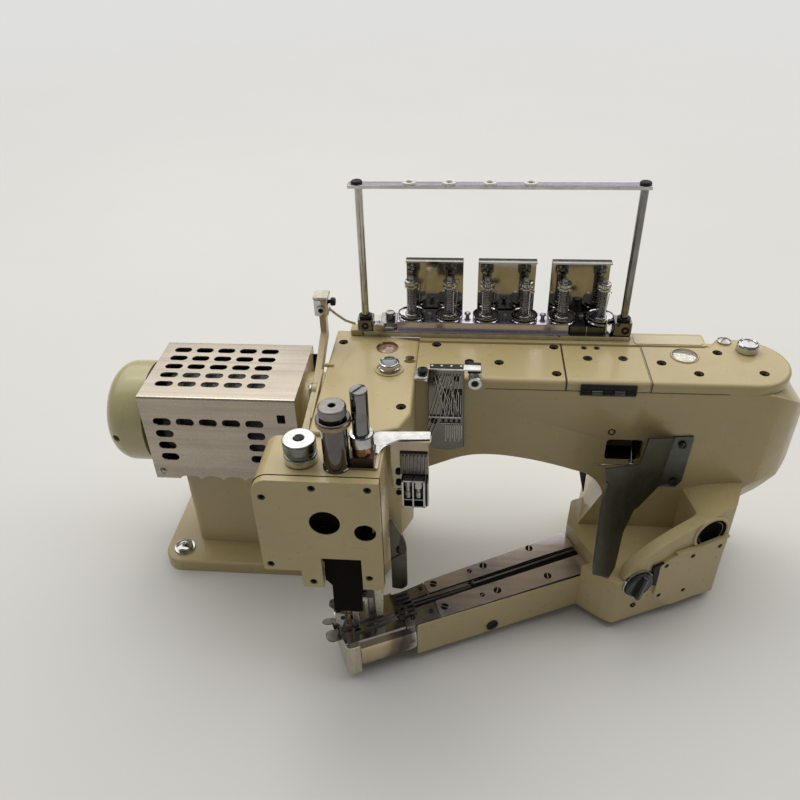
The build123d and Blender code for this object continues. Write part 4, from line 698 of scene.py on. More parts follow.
METALS = {
    # colour, tarnish, low and high roughness, amount of tarnish, scale of lines, bump,
    # metallic, turn
    "polished_steel": (
        (0.50, 0.48, 0.45), (0.30, 0.28, 0.25), (0.10, 0.20), 0.4, (120, 120, 120), 0.03,
    ),
    "bright_chrome": (
        (0.60, 0.59, 0.58), (0.42, 0.40, 0.38), (0.05, 0.13), 0.3, (90, 90, 90), 0.015,
    ),
    "ground_plate": (
        (0.66, 0.62, 0.70), (0.52, 0.49, 0.52), (0.20, 0.26), 0.4, (6, 120, 120), 0.015, 1.0,
        -FEED_ANGLE,
    ),
    "machined_steel": (
        (0.46, 0.45, 0.43), (0.25, 0.23, 0.20), (0.25, 0.42), 0.5, (200, 200, 200), 0.06,
    ),
    "zinc_sheet": (
        (0.115, 0.12, 0.11), (0.075, 0.08, 0.07), (0.28, 0.40), 0.6, (90, 90, 90), 0.05, 0.9,
    ),
    "link_sheet": (
        (0.17, 0.165, 0.125), (0.11, 0.105, 0.08), (0.28, 0.40), 0.6, (90, 90, 90), 0.05, 0.9,
    ),
    "cast_iron": (
        (0.10, 0.10, 0.10), (0.05, 0.045, 0.04), (0.5, 0.7), 0.6, (240, 240, 240), 0.3, 0.6,
    ),
    "turned_brass": (
        (0.62, 0.42, 0.20), (0.38, 0.24, 0.12), (0.2, 0.34), 0.5, (200, 200, 900), 0.08,
    ),
    "mirror_chrome": (
        (0.56, 0.55, 0.55), (0.40, 0.38, 0.36), (0.03, 0.07), 0.3, (90, 90, 90), 0.01,
    ),
    "mirror_steel": ((0.52, 0.49, 0.45), (0.36, 0.33, 0.29), (0.07, 0.13), 0.3, (60, 60, 60), 0.01),
    "mirror_plate": (
        (0.40, 0.385, 0.35), (0.27, 0.255, 0.22), (0.06, 0.12), 0.3, (60, 60, 60), 0.02,
    ),
    # Darker chrome, also standing in for shade on the right guide post.
    "dark_chrome_and_shade": (
        (0.24, 0.235, 0.23), (0.15, 0.145, 0.14), (0.04, 0.08), 0.3, (90, 90, 90), 0.01,
    ),
    "tube_chrome": (
        (0.15, 0.135, 0.13), (0.09, 0.085, 0.08), (0.03, 0.07), 0.3, (90, 90, 90), 0.01,
    ),
    "blue_steel": (
        (0.20, 0.215, 0.21), (0.13, 0.14, 0.135), (0.16, 0.28), 0.4, (160, 160, 600), 0.03,
    ),
    "dark_steel": (
        (0.13, 0.125, 0.115), (0.07, 0.065, 0.06), (0.28, 0.42), 0.5, (160, 160, 160), 0.05,
    ),
    "dull_steel": (
        (0.26, 0.24, 0.225), (0.16, 0.145, 0.13), (0.26, 0.40), 0.5, (160, 160, 600), 0.06,
    ),
    "spring_steel": (
        (0.36, 0.35, 0.33), (0.2, 0.19, 0.17), (0.16, 0.28), 0.4, (160, 160, 160), 0.03,
    ),
    "satin_silver": (
        (0.66, 0.65, 0.63), (0.5, 0.49, 0.46), (0.16, 0.24), 0.3, (120, 120, 120), 0.006,
    ),
    "brushed_steel": (
        (0.60, 0.55, 0.44), (0.42, 0.37, 0.28), (0.26, 0.40), 0.35, (300, 20, 20), 0.08,
    ),
    "ivory_steel": (
        (0.62, 0.57, 0.45), (0.46, 0.41, 0.31), (0.24, 0.36), 0.4, (200, 200, 40), 0.03, 0.5,
    ),
    "dull_plate": (
        (0.30, 0.29, 0.27), (0.20, 0.19, 0.17), (0.20, 0.28), 0.4, (6, 120, 120), 0.015, 1.0,
        -FEED_ANGLE,
    ),
    "bronze_steel": (
        (0.30, 0.22, 0.14), (0.18, 0.13, 0.09), (0.22, 0.34), 0.5, (160, 160, 160), 0.04,
    ),
    "dark_mirror": (
        (0.19, 0.185, 0.165), (0.12, 0.115, 0.10), (0.08, 0.16), 0.4, (60, 60, 60), 0.02,
    ),
    # Darker brown chrome of the head bracket: painted shade of its flange.
    "shaded_bracket_chrome": (
        (0.40, 0.34, 0.245), (0.26, 0.215, 0.15), (0.06, 0.12), 0.4, (60, 60, 60), 0.01,
    ),
    "copper": ((0.42, 0.24, 0.15), (0.26, 0.15, 0.10), (0.14, 0.26), 0.4, (200, 200, 600), 0.03),
}


class SEAMER_OT_finishes(bpy.types.Operator):
    """Builds the procedural finishes and gives each CAD node its own."""

    bl_idname = "seamer.finishes"
    bl_label = "Finishes"

    def execute(self, context):
        paint = context.scene.seamer_paint
        bare = context.scene.seamer_metal
        enamel, grain = paint_group(), grain_group()
        cream = tuple(paint.cream)
        shade = tuple(0.80 * c for c in cream)
        painted("cream_enamel", enamel, cream, shade)
        painted("textured_enamel", enamel, (0.60, 0.54, 0.38), cream, 0.4, 230.0, 0.6, 0.2)
        painted("wheel_enamel", enamel, tuple(paint.wheel), tuple(0.85 * c for c in paint.wheel))
        painted(
            "black_oxide", enamel, (0.011, 0.010, 0.009), (0.025, 0.022, 0.019), 0.36, 500.0, 0.06,
            0.0, 0.2,
        )
        painted(
            "dial_green", enamel, (0.012, 0.020, 0.017), (0.03, 0.035, 0.03), 0.22, 500.0, 0.04,
            0.4,
        )
        painted(
            "white_ceramic", enamel, (0.80, 0.78, 0.72), (0.7, 0.66, 0.58), 0.15, 500.0, 0.02, 0.5,
        )
        # Near-black matte enamel for black parts and seams, also laid as painted shade in hollows and
        # under edges.
        painted(
            "matte_black_and_shade", enamel, (0.009, 0.007, 0.005), (0.015, 0.012, 0.01), 0.8, 300.0, 0.1,
            0.0, 0.05,
        )
        metal(
            "stainless_sheet", grain, tuple(bare.stainless), (0.38, 0.33, 0.26), (0.26, 0.31), 0.3,
            (4, 120, 120), 0.008,
        )
        for name, values in METALS.items():
            metal(name, grain, *values)
        # Painted reflection bands for the looper cover.
        reflection_banded("painted_reflection_sheet", reflection_band_group())
        # Dark brown enamel of oxide-dark parts, also used for the painted shadow line under the lids.
        painted(
            "brown_oxide_and_shadow", enamel, (0.040, 0.022, 0.016), (0.06, 0.04, 0.03), 0.25, 500.0, 0.05,
            0.2,
        )
        painted("lens_grey", enamel, (0.14, 0.17, 0.19), (0.09, 0.11, 0.12), 0.06, 200.0, 0.01, 1.0)
        painted(
            "lens_brown", enamel, (0.28, 0.16, 0.09), (0.16, 0.09, 0.05), 0.08, 200.0, 0.02, 1.0,
        )
        glass("pearl_glass", (0.80, 0.76, 0.68), 0.12)
        glass("oil_glass", (0.62, 0.44, 0.28), 0.08)
        for finish, nodes in NODE_FINISHES.items():
            for node in nodes.split():
                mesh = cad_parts[node].data
                mesh.materials.clear()
                mesh.materials.append(FINISHES[finish])
        return {"FINISHED"}


NODE_FINISHES = {
    "cream_enamel": "pedestal arm_casting block_cover left_top_cover middle_top_cover"
    " right_top_cover head_casting face_plate feed_arm bottom_cover motor_flange lift_lever",
    "wheel_enamel": "handwheel",
    "stainless_sheet": "motor_cover feed_end_cap",
    "cast_iron": "motor_housing",
    "machined_steel": "main_shaft drive_pulley feed_dog needle_clamp presser_foot tension_posts",
    "turned_brass": "shaft_bushes regulator_seat",
    "polished_steel": "looper_cover needle_plate needle_bar needles presser_bar"
    " tension_rail tension_plates tension_springs",
    "ground_plate": "front_arm_plate rear_arm_plate small_arm_plates",
    "bright_chrome": "needle_bar_guard regulator_screw lift_limit_knob head_bracket"
    " thread_guide_plate oil_filler_cap oil_cap tension_discs tension_nut_1 tension_nut_2"
    " tension_nut_3 tension_nut_4 tension_nut_5 tension_nut_6 guide_rods guide_bar",
    "black_oxide": "needle_shield guide_box top_cover_screws hinge_fixed_leaf hinge_moving_leaf",
    "zinc_sheet": "guard_plate",
    "dial_green": "stitch_dial",
    "oil_glass": "sight_glasses",
}


# Castings and sheet metal


class SEAMER_OT_castings(bpy.types.Operator):
    """Painted castings, lids and covers, with rolled edges."""

    bl_idname = "seamer.castings"
    bl_label = "Castings"

    def execute(self, context):
        painted_nodes = (
            ("pedestal", 0.9),
            ("arm_casting", 1.2),
            ("block_cover", 0.5),
            ("left_top_cover", 0.6),
            ("right_top_cover", 0.6),
            ("head_casting", 0.7),
            ("face_plate", 0.7),
            ("feed_arm", 0.6),
            ("bottom_cover", 0.5),
            ("motor_flange", 1.0),
        )
        for node, width in painted_nodes:
            edge_copy(node, node + "_cast", width, "cream_enamel", "machine")
        edge_copy("middle_top_cover", "middle_flap", 0.6, "cream_enamel", "flap")
        edge_copy("handwheel", "handwheel_drum", 1.0, "wheel_enamel", "drive")
        edge_copy("motor_cover", "motor_hood", 0.3, "stainless_sheet", "machine")
        edge_copy("feed_end_cap", "arm_end_cap", 0.5, "brushed_steel", "machine")
        edge_copy("guard_plate", "guard_sheet", 0.3, "zinc_sheet", "machine")
        return {"FINISHED"}


# Feed arm


PLATE_SCREWS = (
    (100.3, 12.8), (155.3, 13.1), (209, 12.2), (100.4, 42.4), (155.5, 46.6), (208.9, 51.6),
)
SMALL_SCREWS = (
    (139.4, 13.4), (139.9, 45.0), (86.3, 12.5), (86.4, 41.2), (134.5, 31.4), (67.5, 11.0),
)


class SEAMER_OT_feed_top(bpy.types.Operator):
    """Bearing plates, channel with its rods, looper cover and painted lip of the feed arm, with
    painted shade in the channel and under the front plate and painted reflections on the looper cover.
    """

    bl_idname = "seamer.feed_top"
    bl_label = "Feed arm top"

    def execute(self, context):
        seat = ((0.3, 46.0), (0, 46.3), (0, 48.6), (0.4, 49.0))
        rear = ((92.5, 33.4), (253.4, 38.4), (253.4, 58.6), (92.5, 48.4))
        front = ((92.5, 2.6), (253.4, 3.6), (253.4, 26.6), (94.4, 22.8))
        put(
            "plate_front", "ground_plate", "polished", slab(rounded(front, 0.8, 3), seat, FEED),
            node="front_arm_plate",
        )
        put(
            "plate_rear", "ground_plate", "polished", slab(rounded(rear, 0.8, 3), seat, FEED),
            node="rear_arm_plate",
        )
        short = (
            ((58.8, 31.2), (91.6, 33.4), (91.6, 47.6), (74, 45.2), (58.8, 43.0)),
            ((58.8, 3.0), (91.8, 2.6), (93.6, 22.6), (76, 21.4), (58.8, 19.6)),
        )
        put(
            "plate_short", "dull_plate", "polished",
            *[slab(rounded(line, 0.8, 3), seat, FEED) for line in short], node="small_arm_plates",
        )
        channel = ((61, 20.0), (92, 23.2), (253, 27.0), (253, 38.0), (92, 33.0), (61, 31.0))
        # A near-black slab at the floor of the channel: painted shade between the plates.
        put("arm_channel", "matte_black_and_shade", "steel", slab(channel, ((0, 44.6), (0, 46.6)), FEED))
        rods = [
            tube(
                np.linspace(feed_point(136, 30.4, 46.9), feed_point(252, 34.4, 46.9), 3), 1.5 * MM,
                16,
            ),
            slab(
                rounded(((62, 23.6), (134, 25.6), (134, 28.0), (62, 26.0)), 1.0, 4), seat[1:], FEED,
            ),
        ]
        put("arm_channel_rod", "dark_steel", "steel", *rods)
        link = rounded(
            ((72, 28.2), (132, 28.6), (140, 30.0), (140, 33.4), (130, 33.0), (72, 30.8)), 1.2, 4,
        )
        put("arm_channel_link", "dull_plate", "steel", slab(link, seat[1:], FEED))
        plane = (feed_point(13.4, 0, 0), ACROSS, UP, ALONG)
        upper = curve(((13.4, 45.5), (4.5, 45.2), (0.4, 38.0), (0.55, 27.0)))
        lower = curve(((0.55, 27.0), (0.8, 19.0), (2.9, 11.5), (8.0, 9.4)))
        sheet = strip(np.concatenate([upper, lower[1:]]), 1.1, plane, (0.0, 54.2))
        # The looper cover carries painted reflections along its length and painted shade on its lower
        # edge.
        put("looper_sheet", "painted_reflection_sheet", "polished", sheet, node="looper_cover")
        plane = (feed_point(0, 0, 0), ALONG, UP, ACROSS)
        edge = ((68.3, 44.4), (253.2, 44.4), (253.2, 49.2), (68.3, 50.2))
        put(
            "arm_lip", "cream_enamel", "paint",
            slab(edge, ((0.3, -0.1), (0, 0.2), (0, 0.8), (0.3, 1.1)), plane),
        )
        # Painted shadow: a near-black strip under the front plate's front edge, wider towards the
        # right.
        gap = ((68.3, 1.1), (253.2, 1.1), (253.2, 3.5), (68.3, 2.5))
        put("arm_plate_shadow", "matte_black_and_shade", "steel", slab(gap, ((0, 46.02), (0, 46.8)), FEED))
        parts = [
            slotted_head(feed_point(s, w, 48.6), UP, 3.7, 0.7, 0.3, 1.0, 0.7, 40, s)
            for s, w in PLATE_SCREWS
        ]
        parts += [
            slotted_head(feed_point(s, w, 48.6), UP, 2.3, 0.7, 0.2, 0.7, 0.6, 32, w)
            for s, w in SMALL_SCREWS
        ]
        put("arm_plate_screws", "matte_black_and_shade", "black_metal", *parts)
        side = slotted_head(
            feed_point(145.0, -0.2, 17.5), -ACROSS, 6.0, 0.9, 0.4, 1.6, 0.9, 48, 0.4,
        )
        put("arm_side_screw", "black_oxide", "black_metal", side)
        return {"FINISHED"}


# Screws and bolts


BASE_BOLTS = [(x, y) for x in (-104.0, 104.0) for y in (-55.0, 55.0)]
COVER_SCREWS = (
    (142.7, -91.3), (77.5, 14.0), (169.0, 13.0), (228.6, -16.6), (280.5, -33.4), (281.5, 13.0),
    (378.0, -11.0), (408.0, -28.0), (433.0, 9.0), (466.0, -25.0),
)
FLAP_SCREWS = ((311.3, -6.0), (344.0, -5.0), (310.0, 13.0), (322.0, 13.0))
FACE_SCREWS = ((39, 218), (80, 229), (124, 229), (37.5, 142), (72.5, 122), (121, 129))
FACE_WINDOWS = ((87.5, 192.0, 12.7), (120.0, 182.6, 9.0))
BOTTOM_COVER_SCREWS = ((307, 74), (336, 76.5), (366, 79), (335, 29), (306, 33))
GUARD_SCREWS = ((401, 174), (400.5, 129))


class SEAMER_OT_screws(bpy.types.Operator):
    """Base bolts with washers, and the screws of covers and plates."""

    bl_idname = "seamer.screws"
    bl_label = "Screws and bolts"

    def execute(self, context):
        washer = ((5.6, 0.0), (10.6, 0.0), (11.2, 0.3), (11.2, 1.3), (10.8, 1.7), (5.6, 1.7))
        for index, (x, y) in enumerate(BASE_BOLTS):
            parts = (
                turned(washer, at(x, y, 14.0), closed=True),
                turned(
                    ((0, -12.5), (4.8, -12.5), (5.0, -12.0), (5.0, 1.0), (0, 1.0)), at(x, y, 14.0),
                ),
                slotted_head(at(x, y, 15.7), UP, 8.8, 3.2, 2.6, 2.0, 1.7, 64, 0.5 + index),
            )
            put(f"base_bolt_{index + 1}", "bright_chrome", "polished", *parts)
        # Flat dark rings round the lid screws: painted shade of wider counterbores.
        rim = ((3.2, 0.0), (4.3, 0.0), (4.4, 0.12), (3.2, 0.14))
        parts = [
            socket_screw(at(x, y, COVER_TOP - 0.6), UP, 3.2, 0.9, 1.8)
            for x, y in FLAP_SCREWS[:2]
        ]
        parts += [
            socket_screw(at(x, y, COVER_TOP - 0.6), UP, 2.1, 0.8, 1.1)
            for x, y in FLAP_SCREWS[2:]
        ]
        # The two larger flap screws get the same painted shade rings.
        parts += [
            turned(rim, at(x, y, COVER_TOP), sides=36, closed=True)
            for x, y in FLAP_SCREWS[:2]
        ]
        put("flap_screws", "black_oxide", "black_metal", *parts, body="flap")
        parts = [turned(rim, at(x, y, COVER_TOP), sides=36, closed=True) for x, y in COVER_SCREWS]
        put("cover_screw_shade_rings", "matte_black_and_shade", "black_metal", *parts)
        parts = [socket_screw(at(x, y, COVER_TOP - 4.4), UP) for x, y in COVER_SCREWS]
        put("cover_screws", "black_oxide", "black_metal", *parts, node="top_cover_screws")
        parts = [socket_screw(at(x, -185.0, z), FRONT, 2.9, 2.3, 1.6) for x, z in FACE_SCREWS]
        put("face_screws", "black_oxide", "black_metal", *parts)
        # Near-black sleeves in the face plate windows: painted shade on the window bores.
        bore_shade = [
            turned(
                ((r - 0.5, -0.4), (r - 0.05, -0.4), (r - 0.05, 6.0), (r - 0.5, 6.0)),
                at(x, -181.5, z), FRONT, 64, closed=True,
            )
            for x, z, r in FACE_WINDOWS
        ]
        put("face_window_shade", "matte_black_and_shade", "black_metal", *bore_shade)
        corner = curve(((31.0, 222.0), (31.0, 230.0), (37.0, 236.0), (45.0, 236.0)), 10)
        path = [
            at(x, -181.0, z)
            for x, z in ((31.0, 136.0), *corner, (133.0, 236.0), (133.0, 116.0))
        ]
        put("face_seam", "matte_black_and_shade", "black_metal", tube(path, 0.5 * MM, 8))
        parts = [
            slotted_head(
                feed_point(s, -34.6, z), -ACROSS, 2.45, 0.9, 0.8, 0.8, 0.8, 36, s
            )
            for s, z in BOTTOM_COVER_SCREWS
        ]
        put("bottom_cover_screws", "black_oxide", "black_metal", *parts)
        parts = [
            slotted_head(
                at(x, -48.0, z), FRONT, 3.7, 2.2, 1.0, 1.0, 1.0, 36, z,
            ) for x, z in GUARD_SCREWS
        ]
        put("guard_screws", "black_oxide", "steel", *parts)
        return {"FINISHED"}


# Thread tension unit


POST_XS = [143.0 + 36.8 * index for index in range(6)]
POST_Y = 44.0
RAIL_TOP = 254.2
BEAM_LOW = 388.8
ROD_XS = (97.8, 348.0)
PLATE_LEFTS = [137.2 + 70.3 * index for index in range(3)]


class SEAMER_OT_tensions(bpy.types.Operator):
    """Rail face, dished discs, springs, knurled nuts and hooks of the six tensions."""

    bl_idname = "seamer.tensions"
    bl_label = "Thread tensions"

    def execute(self, context):
        settings = context.scene.seamer_metal
        wire = settings.spring_wire / MM
        dish = (
            (2.7, 0.9), (8.6, 0.9), (11.0, 0.55), (12.4, 0.1), (13.3, -0.5),
            (13.3, -0.1), (12.5, 0.65), (11.0, 1.15), (8.6, 1.5), (2.7, 1.5),
        )
        seat = (
            (2.7, 0.0), (6.2, 0.0), (6.6, 0.3), (6.6, 0.8), (6.0, 1.2), (4.0, 1.3), (2.7, 1.3),
        )
        nut = (
            (2.62, 0.0), (6.3, 0.0), (6.6, 0.3), (6.6, 1.5), (6.2, 1.9), (5.1, 2.2), (5.1, 3.0),
            (6.2, 3.3), (6.6, 3.7), (6.6, 6.1), (6.1, 6.7), (4.6, 7.0), (4.2, 7.7), (2.62, 7.7),
        )
        for index, x in enumerate(POST_XS):
            place = at(x, POST_Y, 0)
            lower = turned(dish, place + at(0, 0, RAIL_TOP), sides=64, closed=True)
            upper = turned(
                [
                    (r, 3.4 - h)
                    for r, h in dish
                ], place + at(0, 0, RAIL_TOP + 0.15), sides=64, closed=True
            )
            put(
                f"tension_disc_pair_{index + 1}", "mirror_chrome", "polished", lower, upper,
                node="tension_discs",
            )
            coil = helix(place, 4.9 - wire / 2, RAIL_TOP + 3.9, 286.3, wire, settings.spring_turns)
            cup = turned(seat, place + at(0, 0, RAIL_TOP + 2.7), sides=40, closed=True)
            put(
                f"tension_coil_{index + 1}", "spring_steel", "steel", coil, cup,
                node="tension_springs",
            )
            shape = knurl(len(nut), 96, 8, 10, 24, 0.06) * knurl(len(nut), 96, 2, 4, 24, 0.04)
            put(
                f"knurled_nut_{index + 1}", "mirror_steel", "polished",
                turned(nut, place + at(0, 0, 286.5), sides=96, shape=shape, closed=True),
                body=f"nut_{index + 1}", node=f"tension_nut_{index + 1}",
            )
            post = slotted_head(
                place + at(0, 0, 296.0), UP, 2.3, 0.4, 0.3, 0.7, 0.6, 32, index * 0.7,
            )
            angle = np.linspace(-0.6, 1.55 * np.pi, 28)
            ring = at(x + 7.4, 51.5, 279.0) + np.stack(
                [1.9 * np.cos(angle), -1.6 * np.sin(angle), 1.9 * np.sin(angle)], -1
            ) * MM
            stem = np.linspace(at(x + 6.0, 52.0, RAIL_TOP), ring[-1], 8)
            hook = tube(np.concatenate([stem[:-1], ring[::-1]]), 0.35 * MM, 8)
            put(f"thread_hook_{index + 1}", "mirror_steel", "polished", post, hook)
        peg = (
            (0, 0), (1.9, 0), (1.9, 2.6), (3.0, 3.0), (3.2, 3.8), (2.7, 4.6), (1.6, 5.0), (0, 5.1),
        )
        pegs = [turned(peg, at(x + 18.4, 44.0, RAIL_TOP), sides=24) for x in POST_XS[:-1]]
        put("thread_pegs", "machined_steel", "steel", *pegs)
        parts = (
            bar((129, 30.6, RAIL_FOOT), (296.2, 58.5, RAIL_TOP), 0.5),
            bar((91.0, 26.2, RAIL_FOOT), (297, 30.4, 245.9), 0.35),
        )
        put("rail_face", "ground_plate", "polished", *parts)
        parts = (
            bar((112.0, 33.0, RAIL_FOOT), (128.6, 56.0, 251.0), 0.5),
            turned(
                ((0, 0), (4.6, 0), (5.0, 0.5), (5.0, 6.0), (4.2, 7.2), (0, 7.6)),
                at(121.5, 44.0, 251.0), sides=40,
            ),
            turned(
                ((0, 0), (2.6, 0), (2.6, 3.0), (2.0, 3.6), (0, 3.8)), at(115.5, 33.2, 248.0), FRONT,
                28,
            ),
        )
        put("rail_start", "spring_steel", "steel", *parts)
        parts = (
            bar((297.4, 31.0, RAIL_FOOT), (312.6, 58.5, RAIL_TOP - 1.6), 0.5),
            bar((314.2, 31.0, RAIL_FOOT), (330.5, 58.5, RAIL_TOP - 2.4), 0.5),
            bar((299, 58.6, RAIL_FOOT), (336.5, 60.2, RAIL_TOP - 1), 0.4),
        )
        put("rail_end", "dark_steel", "steel", *parts)
        posts = [
            bar((312.7, 30.6, RAIL_FOOT), (314.1, 34.0, RAIL_TOP - 1.2), 0.3),
            bar((331.0, 30.0, RAIL_FOOT), (332.4, 33.0, RAIL_TOP + 6.0), 0.3),
        ]
        put("rail_end_pins", "mirror_steel", "polished", *posts)
        plates = []
        for left in PLATE_LEFTS:
            path = bend(((61.2, 245.1), (61.2, 309.2), (51.0, 309.2)), 2.2)
            plates.append(strip(path, 1.5, side_of(left), (0.0, 55.8)))
        put("mirror_plates", "mirror_plate", "polished", *plates, node="tension_plates")
        return {"FINISHED"}


class SEAMER_OT_guide_frame(bpy.types.Operator):
    """Rod clamps, knurled rail screw, eyelets and end caps of the thread frame."""

    bl_idname = "seamer.guide_frame"
    bl_label = "Thread frame"

    def execute(self, context):
        put(
            "guide_beam", "ground_plate", "polished",
            bar((88.4, 30.0, BEAM_LOW), (353.4, 40.0, BEAM_LOW + 3.6), 0.5, corner=2.0),
            node="guide_bar",
        )
        edge = bar((88.6, 29.5, BEAM_LOW + 0.3), (353.2, 30.3, BEAM_LOW + 3.3), 0.2)
        put("guide_beam_edge", "satin_silver", "polished", edge)
        rod = ((0, 0), (3.6, 0), (3.6, BEAM_LOW - RAIL_FOOT), (0, BEAM_LOW - RAIL_FOOT))
        # The right post takes a darker chrome than its twin: painted shade.
        for index, (
            x, finish,
        ) in enumerate(((ROD_XS[0], "mirror_steel"), (ROD_XS[1], "dark_chrome_and_shade"))):
            put(
                f"guide_post_{index + 1}", finish, "polished",
                turned(rod, at(x, 35.0, RAIL_FOOT), sides=48), node="guide_rods",
            )
        ring = (
            (3.7, -0.6), (5.6, -0.6), (6.0, -0.2), (6.2, 0.6), (5.8, 1.6), (4.6, 2.0), (3.4, 1.6),
            (2.9, 0.7), (3.0, -0.2),
        )
        for index in range(4):
            place = at(143.2 + 35.6 * index, 35.0, BEAM_LOW + 3.7)
            put(
                f"eyelet_{index + 1}", "white_ceramic", "paint",
                turned(ring, place, sides=48, closed=True),
            )
        cap = ((0, 0), (4.8, 0), (5.2, 0.4), (5.2, 1.6), (4.4, 2.6), (2.6, 3.1), (0, 3.2))
        parts = [
            turned(cap, at(x, 35.0, BEAM_LOW + 3.5), sides=40)
            for x in (ROD_XS[0] - 1.2, ROD_XS[1])
        ]
        put("rod_caps", "black_oxide", "black_metal", *parts)
        clamp = (
            bar((90.2, 27.2, RAIL_FOOT), (105.6, 44.0, 257.0), 0.7, corner=2.2),
            bar((338.6, 27.4, RAIL_FOOT), (355.6, 44.4, 259.0), 0.7, corner=2.0),
        )
        put("rod_clamps", "dark_mirror", "polished", *clamp)
        collar = ((3.65, 0), (6.0, 0), (6.4, 0.4), (6.4, 2.6), (6.0, 3.0), (3.65, 3.0))
        parts = [
            turned(collar, at(ROD_XS[0], 35.0, 257.0), sides=40, closed=True),
            turned(collar, at(ROD_XS[1], 35.0, 259.0), sides=40, closed=True),
            socket_screw(at(97.8, 27.4, 251.0), FRONT, 3.6, 1.4, 2.0),
            socket_screw(at(349.5, 27.6, 251.0), FRONT, 3.8, 1.4, 2.0),
        ]
        put("clamp_screws", "black_oxide", "black_metal", *parts)
        thumb = (
            (0, 0), (2.4, 0), (2.4, 2.2), (5.2, 2.4), (5.7, 3.0), (5.7, 8.6), (5.1, 9.4),
            (2.4, 9.6), (2.2, 8.9), (0, 8.9),
        )
        parts = (
            turned(thumb, at(111.5, 31.8, 251.0), FRONT, 96, knurl(len(thumb), 96, 4, 6, 24, 0.08)),
            bar((106.0, 28.6, 245.6), (126.0, 32.0, 248.6), 0.5),
        )
        put("rail_thumb_screw", "machined_steel", "steel", *parts)
        return {"FINISHED"}


# Knobs of the head and its bracket


HEAD_TOP = 236.0
KNOB = (68.0, -161.0)
NEEDLE = (98.0, -167.0)
PRESSER = (117.5, -158.0)


